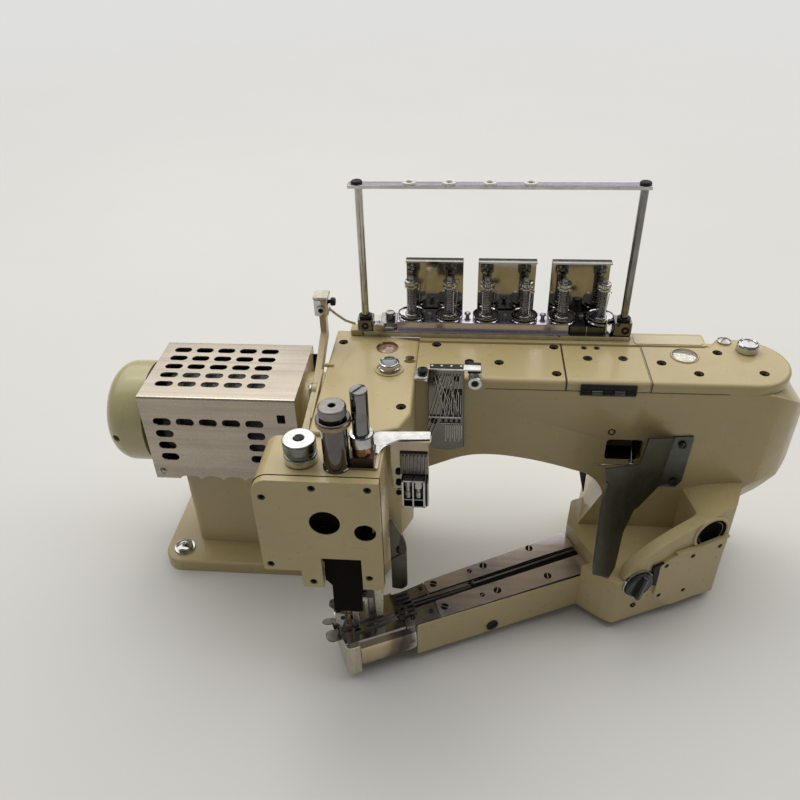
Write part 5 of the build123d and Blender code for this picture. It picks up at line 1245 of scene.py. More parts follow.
class SEAMER_OT_knobs(bpy.types.Operator):
    """Lift limit knob, needle bar guard, pressure regulator and their bracket."""

    bl_idname = "seamer.knobs"
    bl_label = "Knobs of the head"

    def execute(self, context):
        place = at(*KNOB, HEAD_TOP)
        knob = (
            (0, -9.5), (3.95, -9.5), (3.95, 0.4), (12.6, 0.4), (13.3, 0.8), (13.5, 1.4),
            (13.5, 7.0),
            (13.2, 7.8), (12.2, 8.2), (12.0, 8.8), (12.0, 10.2), (12.3, 10.8), (13.2, 11.2),
            (13.5, 12.0),
            (13.5, 20.2), (13.2, 20.7), (4.4, 20.7), (4.3, 18.5), (0, 18.5),
        )
        shape = knurl(len(knob), 180, 12, 14, 60, 0.015)
        put(
            "limit_knob", "blue_steel", "polished", turned(knob, place, sides=180, shape=shape),
            body="lift_limiter", node="lift_limit_knob",
        )
        top = (
            (4.4, 20.5), (13.1, 20.5), (13.3, 20.9), (12.8, 21.6), (12.0, 21.9), (4.8, 21.9),
            (4.4, 21.5),
        )
        band = ((13.45, 0.9), (13.7, 1.2), (13.7, 6.8), (13.45, 7.1), (12.6, 7.1), (12.6, 0.9))
        parts = (
            turned(top, place, sides=72, closed=True), turned(band, place, sides=72, closed=True),
        )
        put("limit_knob_disc", "satin_silver", "polished", *parts, body="lift_limiter")
        # Painted highlight: a brighter satin plate over the top of the bracket arm, where the light
        # falls.
        outline = rounded(
            ((123.5, -126.0), (170.4, -123.7), (170.4, -134.4), (144.2, -136.2), (134.2, -144.0),
             (128.6, -154.5), (123.5, -154.5)), 2.0, 4,
        )
        put(
            "bracket_arm_highlight", "satin_silver", "polished",
            slab(outline, THIN_SHEET, level_at(237.75)),
        )
        plug = ((0, 18.4), (4.1, 18.4), (4.1, 21.6), (3.6, 22.3), (2.0, 22.7), (0, 22.8))
        put(
            "limit_knob_plug", "black_oxide", "black_metal", turned(plug, place, sides=40),
            body="lift_limiter",
        )
        place = at(*NEEDLE, HEAD_TOP)
        tube_rows = (
            (5.05, 0.05), (11.3, 0.05), (11.3, 1.4), (10.5, 2.0), (10.5, 46.9), (13.3, 46.9),
            (13.6, 47.2),
            (13.4, 47.9), (12.9, 48.2), (5.05, 48.2),
        )
        put(
            "guard_tube", "tube_chrome", "polished",
            turned(tube_rows, place, sides=144, closed=True), node="needle_bar_guard",
        )
        top = (
            (5.05, 48.3), (8.4, 48.3), (8.4, 50.4), (9.6, 50.8), (10.8, 51.2), (11.0, 51.8),
            (11.0, 57.8),
            (10.6, 58.3), (9.6, 58.9), (3.2, 58.9), (2.7, 58.3), (2.7, 53.0), (5.05, 51.0),
        )
        shape = knurl(len(top), 144, 5, 7, 48, 0.025)
        put(
            "guard_knob", "dull_steel", "steel",
            turned(top, place, sides=144, shape=shape, closed=True), node="needle_bar_guard",
        )
        collar = (
            (10.6, 41.6), (12.6, 41.6), (13.9, 42.6), (13.9, 46.2), (13.2, 46.8), (10.6, 46.8),
        )
        shape = knurl(len(collar), 144, 2, 4, 48, 0.02)
        put(
            "guard_collar", "bronze_steel", "steel",
            turned(collar, place, sides=144, shape=shape, closed=True),
        )
        place = at(*PRESSER, HEAD_TOP)
        well = rounded(((106.8, -168.4), (127.6, -168.4), (127.6, -148.5), (106.8, -148.5)), 2.0, 4)
        put(
            "regulator_well", "brown_oxide_and_shadow", "black_metal",
            slab(well, ((0.4, 237.6), (0, 238.0), (0, 243.8), (0.5, 244.4)), LEVEL),
        )
        seat = ((4.45, 2.0), (9.5, 2.0), (9.5, 7.4), (9.0, 8.0), (9.0, 15.9), (4.45, 15.9))
        put(
            "regulator_band", "copper", "brass", turned(seat, place, sides=64, closed=True),
            node="regulator_seat",
        )
        collar = (
            (4.45, 16.4), (9.4, 16.4), (10.0, 17.0), (10.0, 25.8), (9.3, 26.8), (7.1, 27.2),
            (4.45, 27.2),
        )
        put(
            "regulator_collar", "mirror_chrome", "polished",
            turned(collar, place, sides=64, closed=True), body="regulator", node="regulator_screw",
        )
        stem = (
            (0, 37.0), (4.45, 37.0), (4.45, 27.3), (7.0, 27.3), (7.0, 66.2), (6.6, 66.9), (0, 66.9),
        )
        parts = (
            turned(stem, place, sides=64),
            slotted_head(place + at(0, 0, 66.7), UP, 6.7, 1.0, 0.3, 1.9, 1.9, 64, 0.95),
            turned(
                ((0.9, -0.3), (1.9, -0.3), (1.9, 0.2), (1.5, 0.5), (0.9, 0.2)),
                place + at(-5.2, -4.6, 41.0), (-0.75, -0.66, 0), 24, closed=True,
            ),
        )
        put(
            "regulator_stem", "dark_chrome_and_shade", "polished", *parts, body="regulator",
            node="regulator_screw",
        )
        # The bracket's chrome is painted darker brown because its flange lies in shade.
        edge_copy("head_bracket", "bracket_sheet", 0.35, "shaded_bracket_chrome", "machine")
        return {"FINISHED"}


GUIDE_WIRES = (
    (176, 164.8), (179, 167.5), (181, 171), (184, 175), (187, 178), (190, 182), (193, 187),
    (173, 188), (182, 193), (170, 181),
)


class SEAMER_OT_thread_guides(bpy.types.Operator):
    """Guide box and ribs on the bracket, thread plate with its comb, and the guide collars."""

    bl_idname = "seamer.thread_guides"
    bl_label = "Thread guides"

    def execute(self, context):
        left, right, low, high = 146.5, 166.5, 174.0, 204.5
        frame_bars = (
            ((left, -147, low), (left + 1.9, -137.1, high)),
            ((155.4, -147, low), (156.9, -141.0, high)),
            ((right - 1.9, -147, low), (right, -137.1, high)),
            ((left, -147, high - 1.8), (right, -137.1, high)),
            ((left, -147, low), (right, -137.1, low + 1.8)),
            ((left, -146.6, 182.2), (right, -142.0, 183.4)),
        )
        put(
            "box_frame", "mirror_chrome", "polished", *[bar(*ends) for ends in frame_bars],
            node="guide_box",
        )
        dark = (
            bar((left + 1, -139.4, low + 1), (right - 1, -137.2, high - 1)),
            bar((right + 0.2, -145.8, low + 0.5), (right + 1.4, -137.1, high - 2)),
        )
        put("box_back", "black_oxide", "black_metal", *dark, node="guide_box")
        pin = (
            (0, 0), (2.6, 0), (2.9, 0.5), (2.9, 6.2), (2.2, 7.0), (2.2, 12.0), (2.9, 12.8),
            (2.9, 17.6), (2.3, 18.4), (0, 18.4),
        )
        parts = [
            turned(pin, at(151.9, -143.0, 184.0), sides=32),
            turned(pin[:6] + ((0, 12.0),), at(160.6, -143.0, 184.0), sides=32),
            bar((right + 1.5, -146.4, low + 1.5), (right + 2.6, -137.1, high - 3)),
        ]
        put("box_pins", "machined_steel", "steel", *parts)
        put(
            "box_ceramic", "white_ceramic", "paint",
            bar((157.7, -146.4, 194.5), (163.6, -140.5, 202.4), 0.8, corner=1.5),
        )
        studs = [
            slotted_head(at(143.4, -137.1, z), FRONT, 2.5, 1.8, 0.9, 0.8, 0.8, 32, z)
            for z in (206.0, 194.0, 183.0)
        ]
        put("box_studs", "black_oxide", "black_metal", *studs)
        ribs = [bar((145.0, -139.6, 205.2), (168.6, -137.1, 227.0), 0.5, corner=1.0)]
        for x in np.linspace(147.4, 166.2, 7):
            path = np.linspace(at(x, -139.9, 206.4), at(x + 0.4, -139.9, 225.8), 3)
            ribs.append(tube(path, 0.95 * MM, 10))
        put("rib_block", "dull_steel", "steel", *ribs)
        outline = rounded(
            (
                (164.3, 257.5), (164.2, 168), (170, 161), (184, 160), (197.9, 164.3), (197, 200),
                (196.4, 257.5),
            ),
            2.0, 4,
        )
        lip = bend(((-49.7, 252.0), (-49.7, 257.8), (-58.6, 257.8)), 1.2)
        tab = bend(((-25.0, 240.8), (-47.0, 240.8), (-49.4, 243.5)), 1.5)
        parts = (
            slab(outline, THIN_SHEET, front_of(-49.0)),
            strip(tab, 1.4, side_of(164.3), (0, 32.0)),
        )
        put("thread_plate", "dark_mirror", "polished", *parts, node="thread_guide_plate")
        shelf = strip(lip, 1.3, side_of(164.6), (0.0, 46.6))
        put("thread_plate_lip", "satin_silver", "polished", shelf)
        hole = ((0, 0), (1.5, 0), (1.5, 0.5), (0, 0.5))
        dark = [
            bar((165.6, -57.6, 258.3), (195.8, -50.6, 258.9), 0.2),
            bar((199.6, -52.0, 249.6), (211.2, -44.0, 257.2), 0.6),
            bar((177.0, -50.9, 203.2), (195.2, -50.3, 232.0), 0.2),
            turned(((0, 0), (3.2, 0), (3.2, 0.5), (0, 0.5)), at(169.4, -50.5, 195.1), FRONT, 32),
            slotted_head(at(201.0, -19.0, 240.2), UP, 4.3, 1.8, 1.2, 1.0, 0.9, 40, 0.4),
            slotted_head(at(158.4, -39.0, 242.0), UP, 4.7, 3.0, 1.4, 1.1, 1.0, 40, 1.4),
            turned(
                ((0, -0.2), (3.0, -0.2), (3.0, 0.3), (0, 0.3)), at(206.3, -54.2, 240.3), FRONT, 32,
            ),
        ]
        # Dark discs on the plate's thread holes: painted shade in the holes.
        dark += [turned(hole, at(x, -50.5, 195.9), FRONT, 24) for x in (177.9, 183.3, 188.1, 192.8)]
        dark += [
            slotted_head(
                at(x, -50.5, 243.2), FRONT, 2.7, 0.8, 0.5, 0.8, 0.7, 36, x,
            ) for x in (171.2, 189.7)
        ]
        put("thread_plate_blacks_and_hole_shade", "black_oxide", "black_metal", *dark)
        dot = ((0, 0), (1.0, 0), (1.15, 0.2), (0.9, 0.5), (0, 0.6))
        parts = [turned(dot, at(167.8 + 8.6 * i, -53.8, 258.8), sides=24) for i in range(4)]
        put("thread_plate_eyes", "white_ceramic", "paint", *parts)
        comb = [
            bar((164.0, -52.4, 199.8), (194.6, -50.4, 201.6), 0.4),
            bar((175, -51.6, 192.6), (195, -50.4, 193.5), 0.3),
        ]
        for start, stop in GUIDE_WIRES:
            comb.append(
                tube(np.linspace(at(start, -52.4, 247.4), at(stop, -52.2, 200.6), 3), 0.34 * MM, 8)
            )
        for start in (167.0, 171.0, 174.5):
            comb.append(
                tube(
                    np.linspace(at(start, -52.6, 200.6), at(start - 8.5, -53.0, 176.0), 3),
                    0.3 * MM, 8,
                )
            )
        for index in range(8):
            x = 179.0 + 2.1 * index
            comb.append(bar((x, -51.4, 204.0), (x + 0.6, -50.9, 229.0 - 3 * (index % 3)), 0.15))
            comb.append(
                bar((x + 1.2, -51.6, 171.6 + 4 * (index % 2)), (x + 1.9, -50.4, 191.5), 0.2)
            )
        put("thread_comb", "bright_chrome", "polished", *comb)
        collar = (
            (3.0, 0), (6.2, 0), (6.5, 0.4), (6.5, 10.4), (6.1, 11.0), (3.4, 11.0), (3.0, 10.5),
        )
        parts = (
            turned(collar, at(206.3, -43.0, 240.3), FRONT, 56, closed=True),
            bar((200.6, -50.0, 239.9), (212.0, -40.0, 249.5), 0.8, corner=2.0),
            bar((150.8, -50.0, 238.6), (164.0, -33.0, 241.9), 0.6, corner=2.0),
        )
        put("guide_collars", "satin_silver", "polished", *parts)
        inlay = rounded(((140.6, -15.0), (149.0, -15.0), (149.0, -9.0), (140.6, -9.0)), 2.9, 6)
        put(
            "cover_inlay", "brown_oxide_and_shadow", "black_metal",
            slab(inlay, ((0.3, 239.8), (0, 240.1), (0.3, 240.5)), LEVEL),
        )
        return {"FINISHED"}


# Fittings of the lids


FILLER = (127.0, -32.0)
WINDOW = (121.8, 6.0)
DOME = (401.5, 2.0)
OIL_CAP = (461.0, 14.0)
LID_END = (428.6, -5.0)
LID_END_R = 41.05
LID_SEAM = 230.15


class SEAMER_OT_lid_fittings(bpy.types.Operator):
    """Oil filler, sight glasses, oil cap, hinge, seams, the painted shadow line under the lids and the
    rough ledge on the arm.
    """

    bl_idname = "seamer.lid_fittings"
    bl_label = "Lid fittings"

    def execute(self, context):
        place = at(*FILLER, COVER_TOP)
        filler = (
            (0, -7.9), (6.4, -7.9), (6.4, 0.3), (9.1, 0.3), (9.5, 0.7), (9.5, 2.6), (8.7, 3.0),
            (8.5, 3.4), (8.5, 4.2), (8.8, 4.6), (9.5, 5.0), (9.5, 7.4), (9.0, 8.1), (8.2, 8.3),
            (7.8, 7.9),
            (7.6, 7.0), (0, 7.0),
        )
        put(
            "filler_body", "mirror_chrome", "polished", turned(filler, place, sides=64),
            body="filler", node="oil_filler_cap",
        )
        lens = [(r, 7.9 - 0.7 * (r / 7.5) ** 2) for r in np.linspace(7.5, 0, 7)]
        put(
            "filler_lens", "lens_grey", "clear",
            turned([(0, 6.9), (7.5, 6.9)] + lens, place, sides=64), body="filler",
        )
        place = at(*WINDOW, COVER_TOP)
        rim = ((9.2, -5.9), (10.95, -5.9), (10.95, -0.2), (10.6, 0.35), (9.9, 0.35), (9.2, -0.6))
        put("window_rim", "copper", "brass", turned(rim, place, sides=64, closed=True))
        lens = [(r, -1.6 + 1.3 * (1 - (r / 9.2) ** 2)) for r in np.linspace(9.2, 0, 8)]
        put(
            "window_lens", "lens_brown", "clear",
            turned([(0, -5.9), (9.2, -5.9)] + lens, place, sides=64), node="sight_glasses",
        )
        place = at(*DOME, COVER_TOP)
        ball = 14.6
        dome = [(r, 5.0 - ball + math.sqrt(ball**2 - r**2)) for r in np.linspace(10.7, 0, 12)]
        put(
            "dome_lens", "pearl_glass", "clear",
            turned([(0, -4.9), (10.7, -4.9)] + dome, place, sides=64), node="sight_glasses",
        )
        rim = ((10.75, -0.3), (11.3, -0.3), (11.3, 0.6), (10.75, 0.6))
        put("dome_gap", "brown_oxide_and_shadow", "black_metal", turned(rim, place, sides=64, closed=True))
        rim = ((11.35, -0.3), (13.2, -0.3), (13.0, 0.7), (12.4, 1.2), (11.7, 1.2), (11.35, 0.7))
        put("dome_rim", "cream_enamel", "paint", turned(rim, place, sides=64, closed=True))
        place = at(*OIL_CAP, COVER_TOP)
        cap = (
            (0, -6.9), (5.9, -6.9), (5.9, 0.35), (9.6, 0.35), (10.0, 0.8), (10.0, 6.4), (9.6, 7.6),
            (8.6, 8.7),
            (7.2, 9.2), (6.6, 8.8), (6.2, 8.1), (0, 8.5),
        )
        put(
            "end_cap_body", "mirror_chrome", "polished", turned(cap, place, sides=64),
            body="end_cap", node="oil_cap",
        )
        head = slotted_head(at(444.0, 29.0, COVER_TOP), UP, 6.4, 1.8, 2.0, 1.6, 1.4, 56, 0.9)
        put("rear_lid_screw", "machined_steel", "steel", head)
        outline = rounded(((359, 21.6), (421, 21.6), (424, 24), (424, 38), (359, 38)), 3.0)
        put(
            "rough_ledge", "textured_enamel", "paint",
            slab(outline, ((0.4, 0), (0, 0.3), (0.2, 0.6)), level_at(COVER_TOP)),
        )
        left, right = 301.0, 350.5
        steps = np.linspace(left, right, 6)
        roll = ((0, 0.15), (2.1, 0.15), (2.4, 0.45), (2.4, 9.45), (2.1, 9.75), (0, 9.75))
        knuckle = [turned(roll, at(x, -49.0, 231.0), (1, 0, 0), 28) for x in steps[:-1]]
        fixed = bar((left, -49.4, 226.9), (right, -46.1, 228.5), 0.3)
        put(
            "hinge_fixed", "dark_steel", "black_metal", fixed, knuckle[1], knuckle[3],
            node="hinge_fixed_leaf",
        )
        leaf = bar((left, -49.4, 233.3), (right, -47.6, 239.3), 0.3)
        put(
            "hinge_moving", "black_oxide", "black_metal", leaf, knuckle[0], knuckle[2], knuckle[4],
            body="flap", node="hinge_moving_leaf",
        )
        seams = (
            bar((287.6, -46.12, 239.6), (288.8, 20.0, 240.12), 0.05),
            bar((363.5, -46.12, 239.6), (364.6, 20.0, 240.12), 0.05),
            bar((287.6, -46.16, 230.2), (288.8, -45.8, 240.0), 0.05),
            bar((363.5, -46.16, 230.2), (364.6, -45.8, 240.0), 0.05),
        )
        put("flap_seams", "brown_oxide_and_shadow", "black_metal", *seams, body="flap")
        # Painted shadow: a dark line under the lids' front edge and round their right end.
        angle = np.linspace(-np.pi / 2, np.pi / 2, 40)[:, None]
        arc = np.concatenate([np.cos(angle), np.sin(angle), 0 * angle], -1) * LID_END_R * MM
        arc = arc + at(*LID_END, LID_SEAM)
        start = at(216.0, arc[0, 1] / MM, LID_SEAM)
        line = np.concatenate([np.linspace(start, arc[0], 30)[:-1], arc])
        put("lid_shadow_line", "brown_oxide_and_shadow", "black_metal", tube(line, 0.34 * MM, 8))
        return {"FINISHED"}


# Needle area


class SEAMER_OT_needle_area(bpy.types.Operator):
    """Foot, fabric guides, comb, feed teeth and the plates round the needles."""

    bl_idname = "seamer.needle_area"
    bl_label = "Needle area"

    def execute(self, context):
        outline = rounded(
            (
                (82.2, 148.5), (113.8, 148.5), (113.4, 112), (112.0, 78.5), (86.4, 78.5),
                (87.0, 112), (82.4, 118),
            ),
            1.4, 4,
        )
        # Near-black bars in the notch behind the needle shield: painted shade in the recess.
        recess = (
            bar((81.2, -180.4, 115.6), (114.8, -178.6, 151.0), 0.2),
            bar((81.1, -187.6, 150.0), (114.9, -181.0, 150.9), 0.2),
        )
        put("notch_shade", "matte_black_and_shade", "black_metal", *recess)
        put(
            "shield_plate", "matte_black_and_shade", "black_metal",
            slab(outline, THIN_SHEET, front_of(-181.0)), node="needle_shield",
        )
        disc = (
            (0, 0), (4.7, 0), (5.2, 0.5), (5.2, 3.5), (4.7, 4.0), (2.2, 4.0), (1.9, 3.2), (0, 3.2),
        )
        parts = (
            turned(disc, at(84.7, -170.0, 74.5), FRONT, 56),
            bar((82.6, -170.4, 60.5), (89.6, -166.5, 72.0), 0.6),
        )
        put("foot_hinge_disc", "dark_steel", "steel", *parts, body="presser")
        parts = (
            bar((85.6, -180.2, 53.2), (95.4, -176.8, 71.6), 0.6, corner=1.2),
            bar((85.6, -177.6, 53.2), (95.4, -171.0, 65.6), 0.6, corner=1.2),
            bar((83.8, -179.0, 52.9), (99.0, -172.5, 55.2), 0.5),
        )
        put("foot_block", "mirror_plate", "polished", *parts, body="presser")
        parts = (
            bar((101.6, -179.2, 53.0), (107.4, -176.8, 74.5), 0.5, corner=1.0),
            bar((101.6, -177.6, 53.0), (107.4, -173.6, 65.6), 0.5, corner=1.2),
            bar((120.6, -177.6, 55.2), (122.0, -169.0, 57.4), 0.3),
        )
        put("foot_upright", "dull_plate", "paint", *parts, body="presser")
        put(
            "foot_shim", "copper", "brass", bar((97.4, -178.8, 53.0), (99.8, -176.8, 70.0), 0.3),
            body="presser",
        )
        parts = (
            bar((107.0, -166.5, 78.2), (123.6, -150.0, 91.5), 0.6, corner=3.0),
            socket_screw(at(112.0, -166.4, 85.0), FRONT, 2.6, 1.8, 1.4),
        )
        put("presser_clamp", "dark_steel", "steel", *parts, body="presser")
        outline = rounded(((120.2, 104.0), (130.0, 104.0), (127.7, 56.0), (121.4, 54.6)), 1.4, 4)
        low = slab(outline, ((0.5, 0), (0, 0.5), (0, 3.0), (0.5, 3.5)), front_of(-164.0))
        put("tapered_bar", "ivory_steel", "polished", low, body="presser")
        screw = socket_screw(at(92.8, -180.1, 66.0), FRONT, 2.0, 1.0, 1.1)
        put("foot_screw", "black_oxide", "black_metal", screw, body="presser")
        leaves = (
            ((-14, 36), (-10, 39.5), (-3, 38.4), (2, 34.5), (-3, 31), (-10, 32)),
            ((-13, 27), (-8, 29), (-1, 27), (1, 20), (-3, 15.5), (-9, 14.5), (-13.5, 19)),
        )
        rings = ((0.3, 0), (0, 0.3), (0, 0.9), (0.3, 1.2))
        parts = [
            slab(rounded(leaf, 3.0, 5), rings, (feed_point(0, 0, high), ALONG, ACROSS, UP))
            for leaf, high in zip(leaves, (47.6, 43.0))
        ]
        parts.append(bar((-4.0, 17.0, 40.0), (-0.2, 36.0, 43.2), 0.5, FEED))
        put("edge_guides", "dark_steel", "steel", *parts)
        lines = (
            (
                (13, 11.8), (36, 12.6), (54, 16.0), (64, 20.4), (64, 21.8), (53, 17.6), (35, 14.0),
                (13, 13.2),
            ),
            ((24, 17.4), (46, 18.8), (60, 24.0), (59.6, 25.2), (45.6, 20.2), (24, 18.8)),
        )
        parts = [
            slab(line, ((0.3, 49.05), (0, 49.3), (0, 51.0), (0.4, 51.5)), FEED) for line in lines
        ]
        put("fabric_guides", "dull_steel", "polished", *parts)
        fingers = [
            slab(
                rounded(((59, w), (59, w + 3.0), (73.5, w + 2.4), (73.5, w + 0.6)), 0.8, 3),
                ((0.3, 49.05), (0, 49.3), (0, 51.4), (0.5, 52.0)), FEED,
            )
            for w in (13.0, 18.2, 23.4, 28.6, 33.8, 39.0)
        ]
        hub = ((2.0, 0), (5.2, 0), (5.6, 0.5), (5.6, 3.2), (5.1, 3.7), (2.5, 3.7), (2.0, 3.2))
        fingers.append(turned(hub, feed_point(60.5, 22.0, 49.05), sides=40, closed=True))
        fingers.append(bar((55.0, 12.0, 49.05), (59.6, 42.5, 51.2), 0.5, FEED))
        put("edge_comb", "dark_steel", "steel", *fingers)
        teeth = []
        for w in (27.5, 33.5):
            outline = [(21.6, 43.2)]
            for tooth in range(8):
                outline += [(21.6 + 2.1 * tooth, 48.1), (23.4 + 2.1 * tooth, 49.15)]
            outline += [(38.4, 48.1), (38.4, 43.2)]
            plane = (FEED_TIP + ACROSS * (w + 1.6) * MM, ALONG, UP, -ACROSS)
            teeth.append(slab(outline, ((0, 0), (0, 3.2)), plane))
        teeth.append(bar((21.6, 25.9, 39.2), (38.4, 35.1, 43.3), 0.4, FEED))
        put("feed_teeth", "machined_steel", "steel", *teeth, body="feed", node="feed_dog")
        outline = rounded(
            (
                (133.6, 150), (137.2, 146.5), (142.8, 134), (148.6, 116), (148.4, 64), (143, 58.5),
                (133.6, 60),
            ),
            1.5, 3,
        )
        parts = (
            slab(outline, THIN_SHEET, front_of(-136.0)),
            tube(
                [at(134.6, -138.0, 100.0), at(142.0, -138.0, 106.0), at(147.4, -138.0, 112.0)],
                0.5 * MM, 8,
            ),
        )
        put("link_cover", "link_sheet", "zinc", *parts)
        fork = rounded(
            ((142.5, 124), (145.0, 134), (148.0, 124), (149.0, 114), (146, 108), (142, 112)), 1.6,
            4,
        )
        put(
            "link_fork", "brown_oxide_and_shadow", "black_metal",
            slab(fork, ((0.4, 0), (0, 0.4), (0, 2.6), (0.4, 3.0)), front_of(-137.6)),
        )
        screw = slotted_head(at(142.4, -137.5, 112.6), FRONT, 3.6, 1.6, 0.8, 1.0, 0.9, 36, 0.8)
        put("link_cover_screw", "black_oxide", "black_metal", screw)
        return {"FINISHED"}


# Root housing, guard and lifter


WINDOW_SPAN = (330.2, 361.8, 152.0, 175.6)
DIAL = (279.0, 59.0)
PLUG = (353.0, 98.5)


class SEAMER_OT_housing(bpy.types.Operator):
    """Plug, stitch dial, ledge of the bottom cover, the wires by the guard, and painted shade in the
    body window and over its set screws.
    """

    bl_idname = "seamer.housing"
    bl_label = "Root housing"

    def execute(self, context):
        def on_wall(s, z, out=0.0):
            return feed_point(s, -33.0 - out, z)

        rim = ((16.4, -0.6), (19.8, -0.6), (19.6, 0.7), (18.8, 1.7), (17.4, 1.9), (16.4, 1.3))
        put(
            "plug_rim", "cream_enamel", "paint",
            turned(rim, on_wall(*PLUG), -ACROSS, 72, closed=True),
        )
        plug = (
            (0, -5.9), (12.9, -5.9), (12.9, -0.4), (16.3, -0.4), (16.3, 0.9), (15.4, 1.1),
            (13.6, 0.6),
            (12.4, -1.8), (10.8, -2.4), (9.4, -4.4), (4.4, -4.6), (4.1, -4.9), (0, -4.9),
        )
        put("plug_disc", "matte_black_and_shade", "dial", turned(plug, on_wall(*PLUG), -ACROSS, 72))
        dial = (
            (0, -7.8), (5.9, -7.8), (5.9, 0.4), (13.9, 0.4), (14.5, 0.9), (14.5, 4.2), (13.7, 5.2),
            (12.0, 5.6),
            (11.4, 5.2), (0, 5.2),
        )
        grip = rounded(((-14.1, -2.5), (14.1, -2.5), (14.1, 2.5), (-14.1, 2.5)), 2.4, 6)
        turn = math.radians(76)
        along = ALONG * math.cos(turn) + UP * math.sin(turn)
        over = -ALONG * math.sin(turn) + UP * math.cos(turn)
        rings = ((0, 4.9), (0, 9.0), (0.4, 9.9), (1.0, 10.3))
        plane = (on_wall(*DIAL), along, over, -ACROSS)
        shape = knurl(len(dial), 96, 4, 7, 32, 0.03)
        parts = (turned(dial, on_wall(*DIAL), -ACROSS, 96, shape), slab(grip, rings, plane))
        put("dial_knob", "dial_green", "dial", *parts, body="dial", node="stitch_dial")
        line = slab(
            ((-12, -0.5), (12, -0.5), (12, 0.5), (-12, 0.5)), ((0, 10.2), (0.1, 10.5)), plane,
        )
        put("dial_line", "dull_steel", "steel", line, body="dial")
        ring = ((14.9, -0.2), (16.4, -0.2), (16.4, 1.6), (15.9, 2.2), (15.2, 2.0), (14.9, 1.4))
        put(
            "dial_rim", "mirror_chrome", "polished",
            turned(ring, on_wall(*DIAL), -ACROSS, 80, closed=True),
        )
        parts = (
            slab(
                rounded(((295.5, 50), (307.5, 47), (309.5, 73), (304, 79), (292, 77)), 2.0, 4),
                ((0.4, 0), (0, 0.3), (0, 2.2), (0.6, 2.8)), HOUSING,
            ),
            socket_screw(on_wall(279.6, 26.8, -0.4), -ACROSS, 3.0, 1.4, 1.5),
        )
        put("dial_latch", "black_oxide", "black_metal", *parts)
        path = bend(((316, 86.4), (345, 87.6), (373.5, 90.6)), 3.0)
        put("cover_ledge", "cream_enamel", "paint", strip(path, 2.6, HOUSING, (0.0, 4.6), 0.6))
        wires = (
            ((321.5, -48.4, 146.0), (333.9, -48.4, 146.6)),
            ((338.9, -50.0, 149.5), (352.0, -51.0, 149.4), (363.8, -50.0, 148.9)),
            ((353.5, -49.6, 178.0), (355.6, -50.6, 165.0), (357.4, -49.8, 151.0)),
            ((329.0, -48.0, 146.2), (338.9, -50.0, 149.5)),
        )
        parts = [tube([at(*point) for point in wire], 0.55 * MM, 8) for wire in wires]
        stud = ((0, 0), (2.2, 0), (2.2, 2.6), (1.7, 3.2), (0, 3.2))
        parts.append(turned(stud, at(357.4, -46.5, 150.4), FRONT, 24))
        put("guard_wires", "mirror_chrome", "polished", *parts)
        # Set screws in the near-black finish, as dark as the shaded holes they sit in: painted shade
        # over real screws.
        parts = (
            socket_screw(at(335.2, -45.2, 184.6), FRONT, 3.7, 1.0, 2.2),
            socket_screw(at(427.7, -45.2, 107.8), FRONT, 3.0, 1.0, 1.5),
        )
        put("body_set_screws", "matte_black_and_shade", "black_metal", *parts)
        left, right, low, high = WINDOW_SPAN
        # A near-black frame and box behind the body window: painted shade seen through the opening.
        parts = (
            bar((left, -45.3, low), (left + 0.8, -25.6, high), 0.1),
            bar((right - 0.8, -45.3, low), (right, -25.6, high), 0.1),
            bar((left, -45.3, low), (right, -25.6, low + 0.8), 0.1),
            bar((left, -45.3, high - 0.8), (right, -25.6, high), 0.1),
            bar((left - 8, 14.2, 90.0), (right + 8, 15.2, 172.0), 0.1),
            bar((left - 9, -25.0, 90.0), (left - 8, 15.0, 172.0), 0.1),
            bar((right + 8, -25.0, 90.0), (right + 9, 15.0, 172.0), 0.1),
        )
        put("body_window_shade", "matte_black_and_shade", "black_metal", *parts)
        return {"FINISHED"}


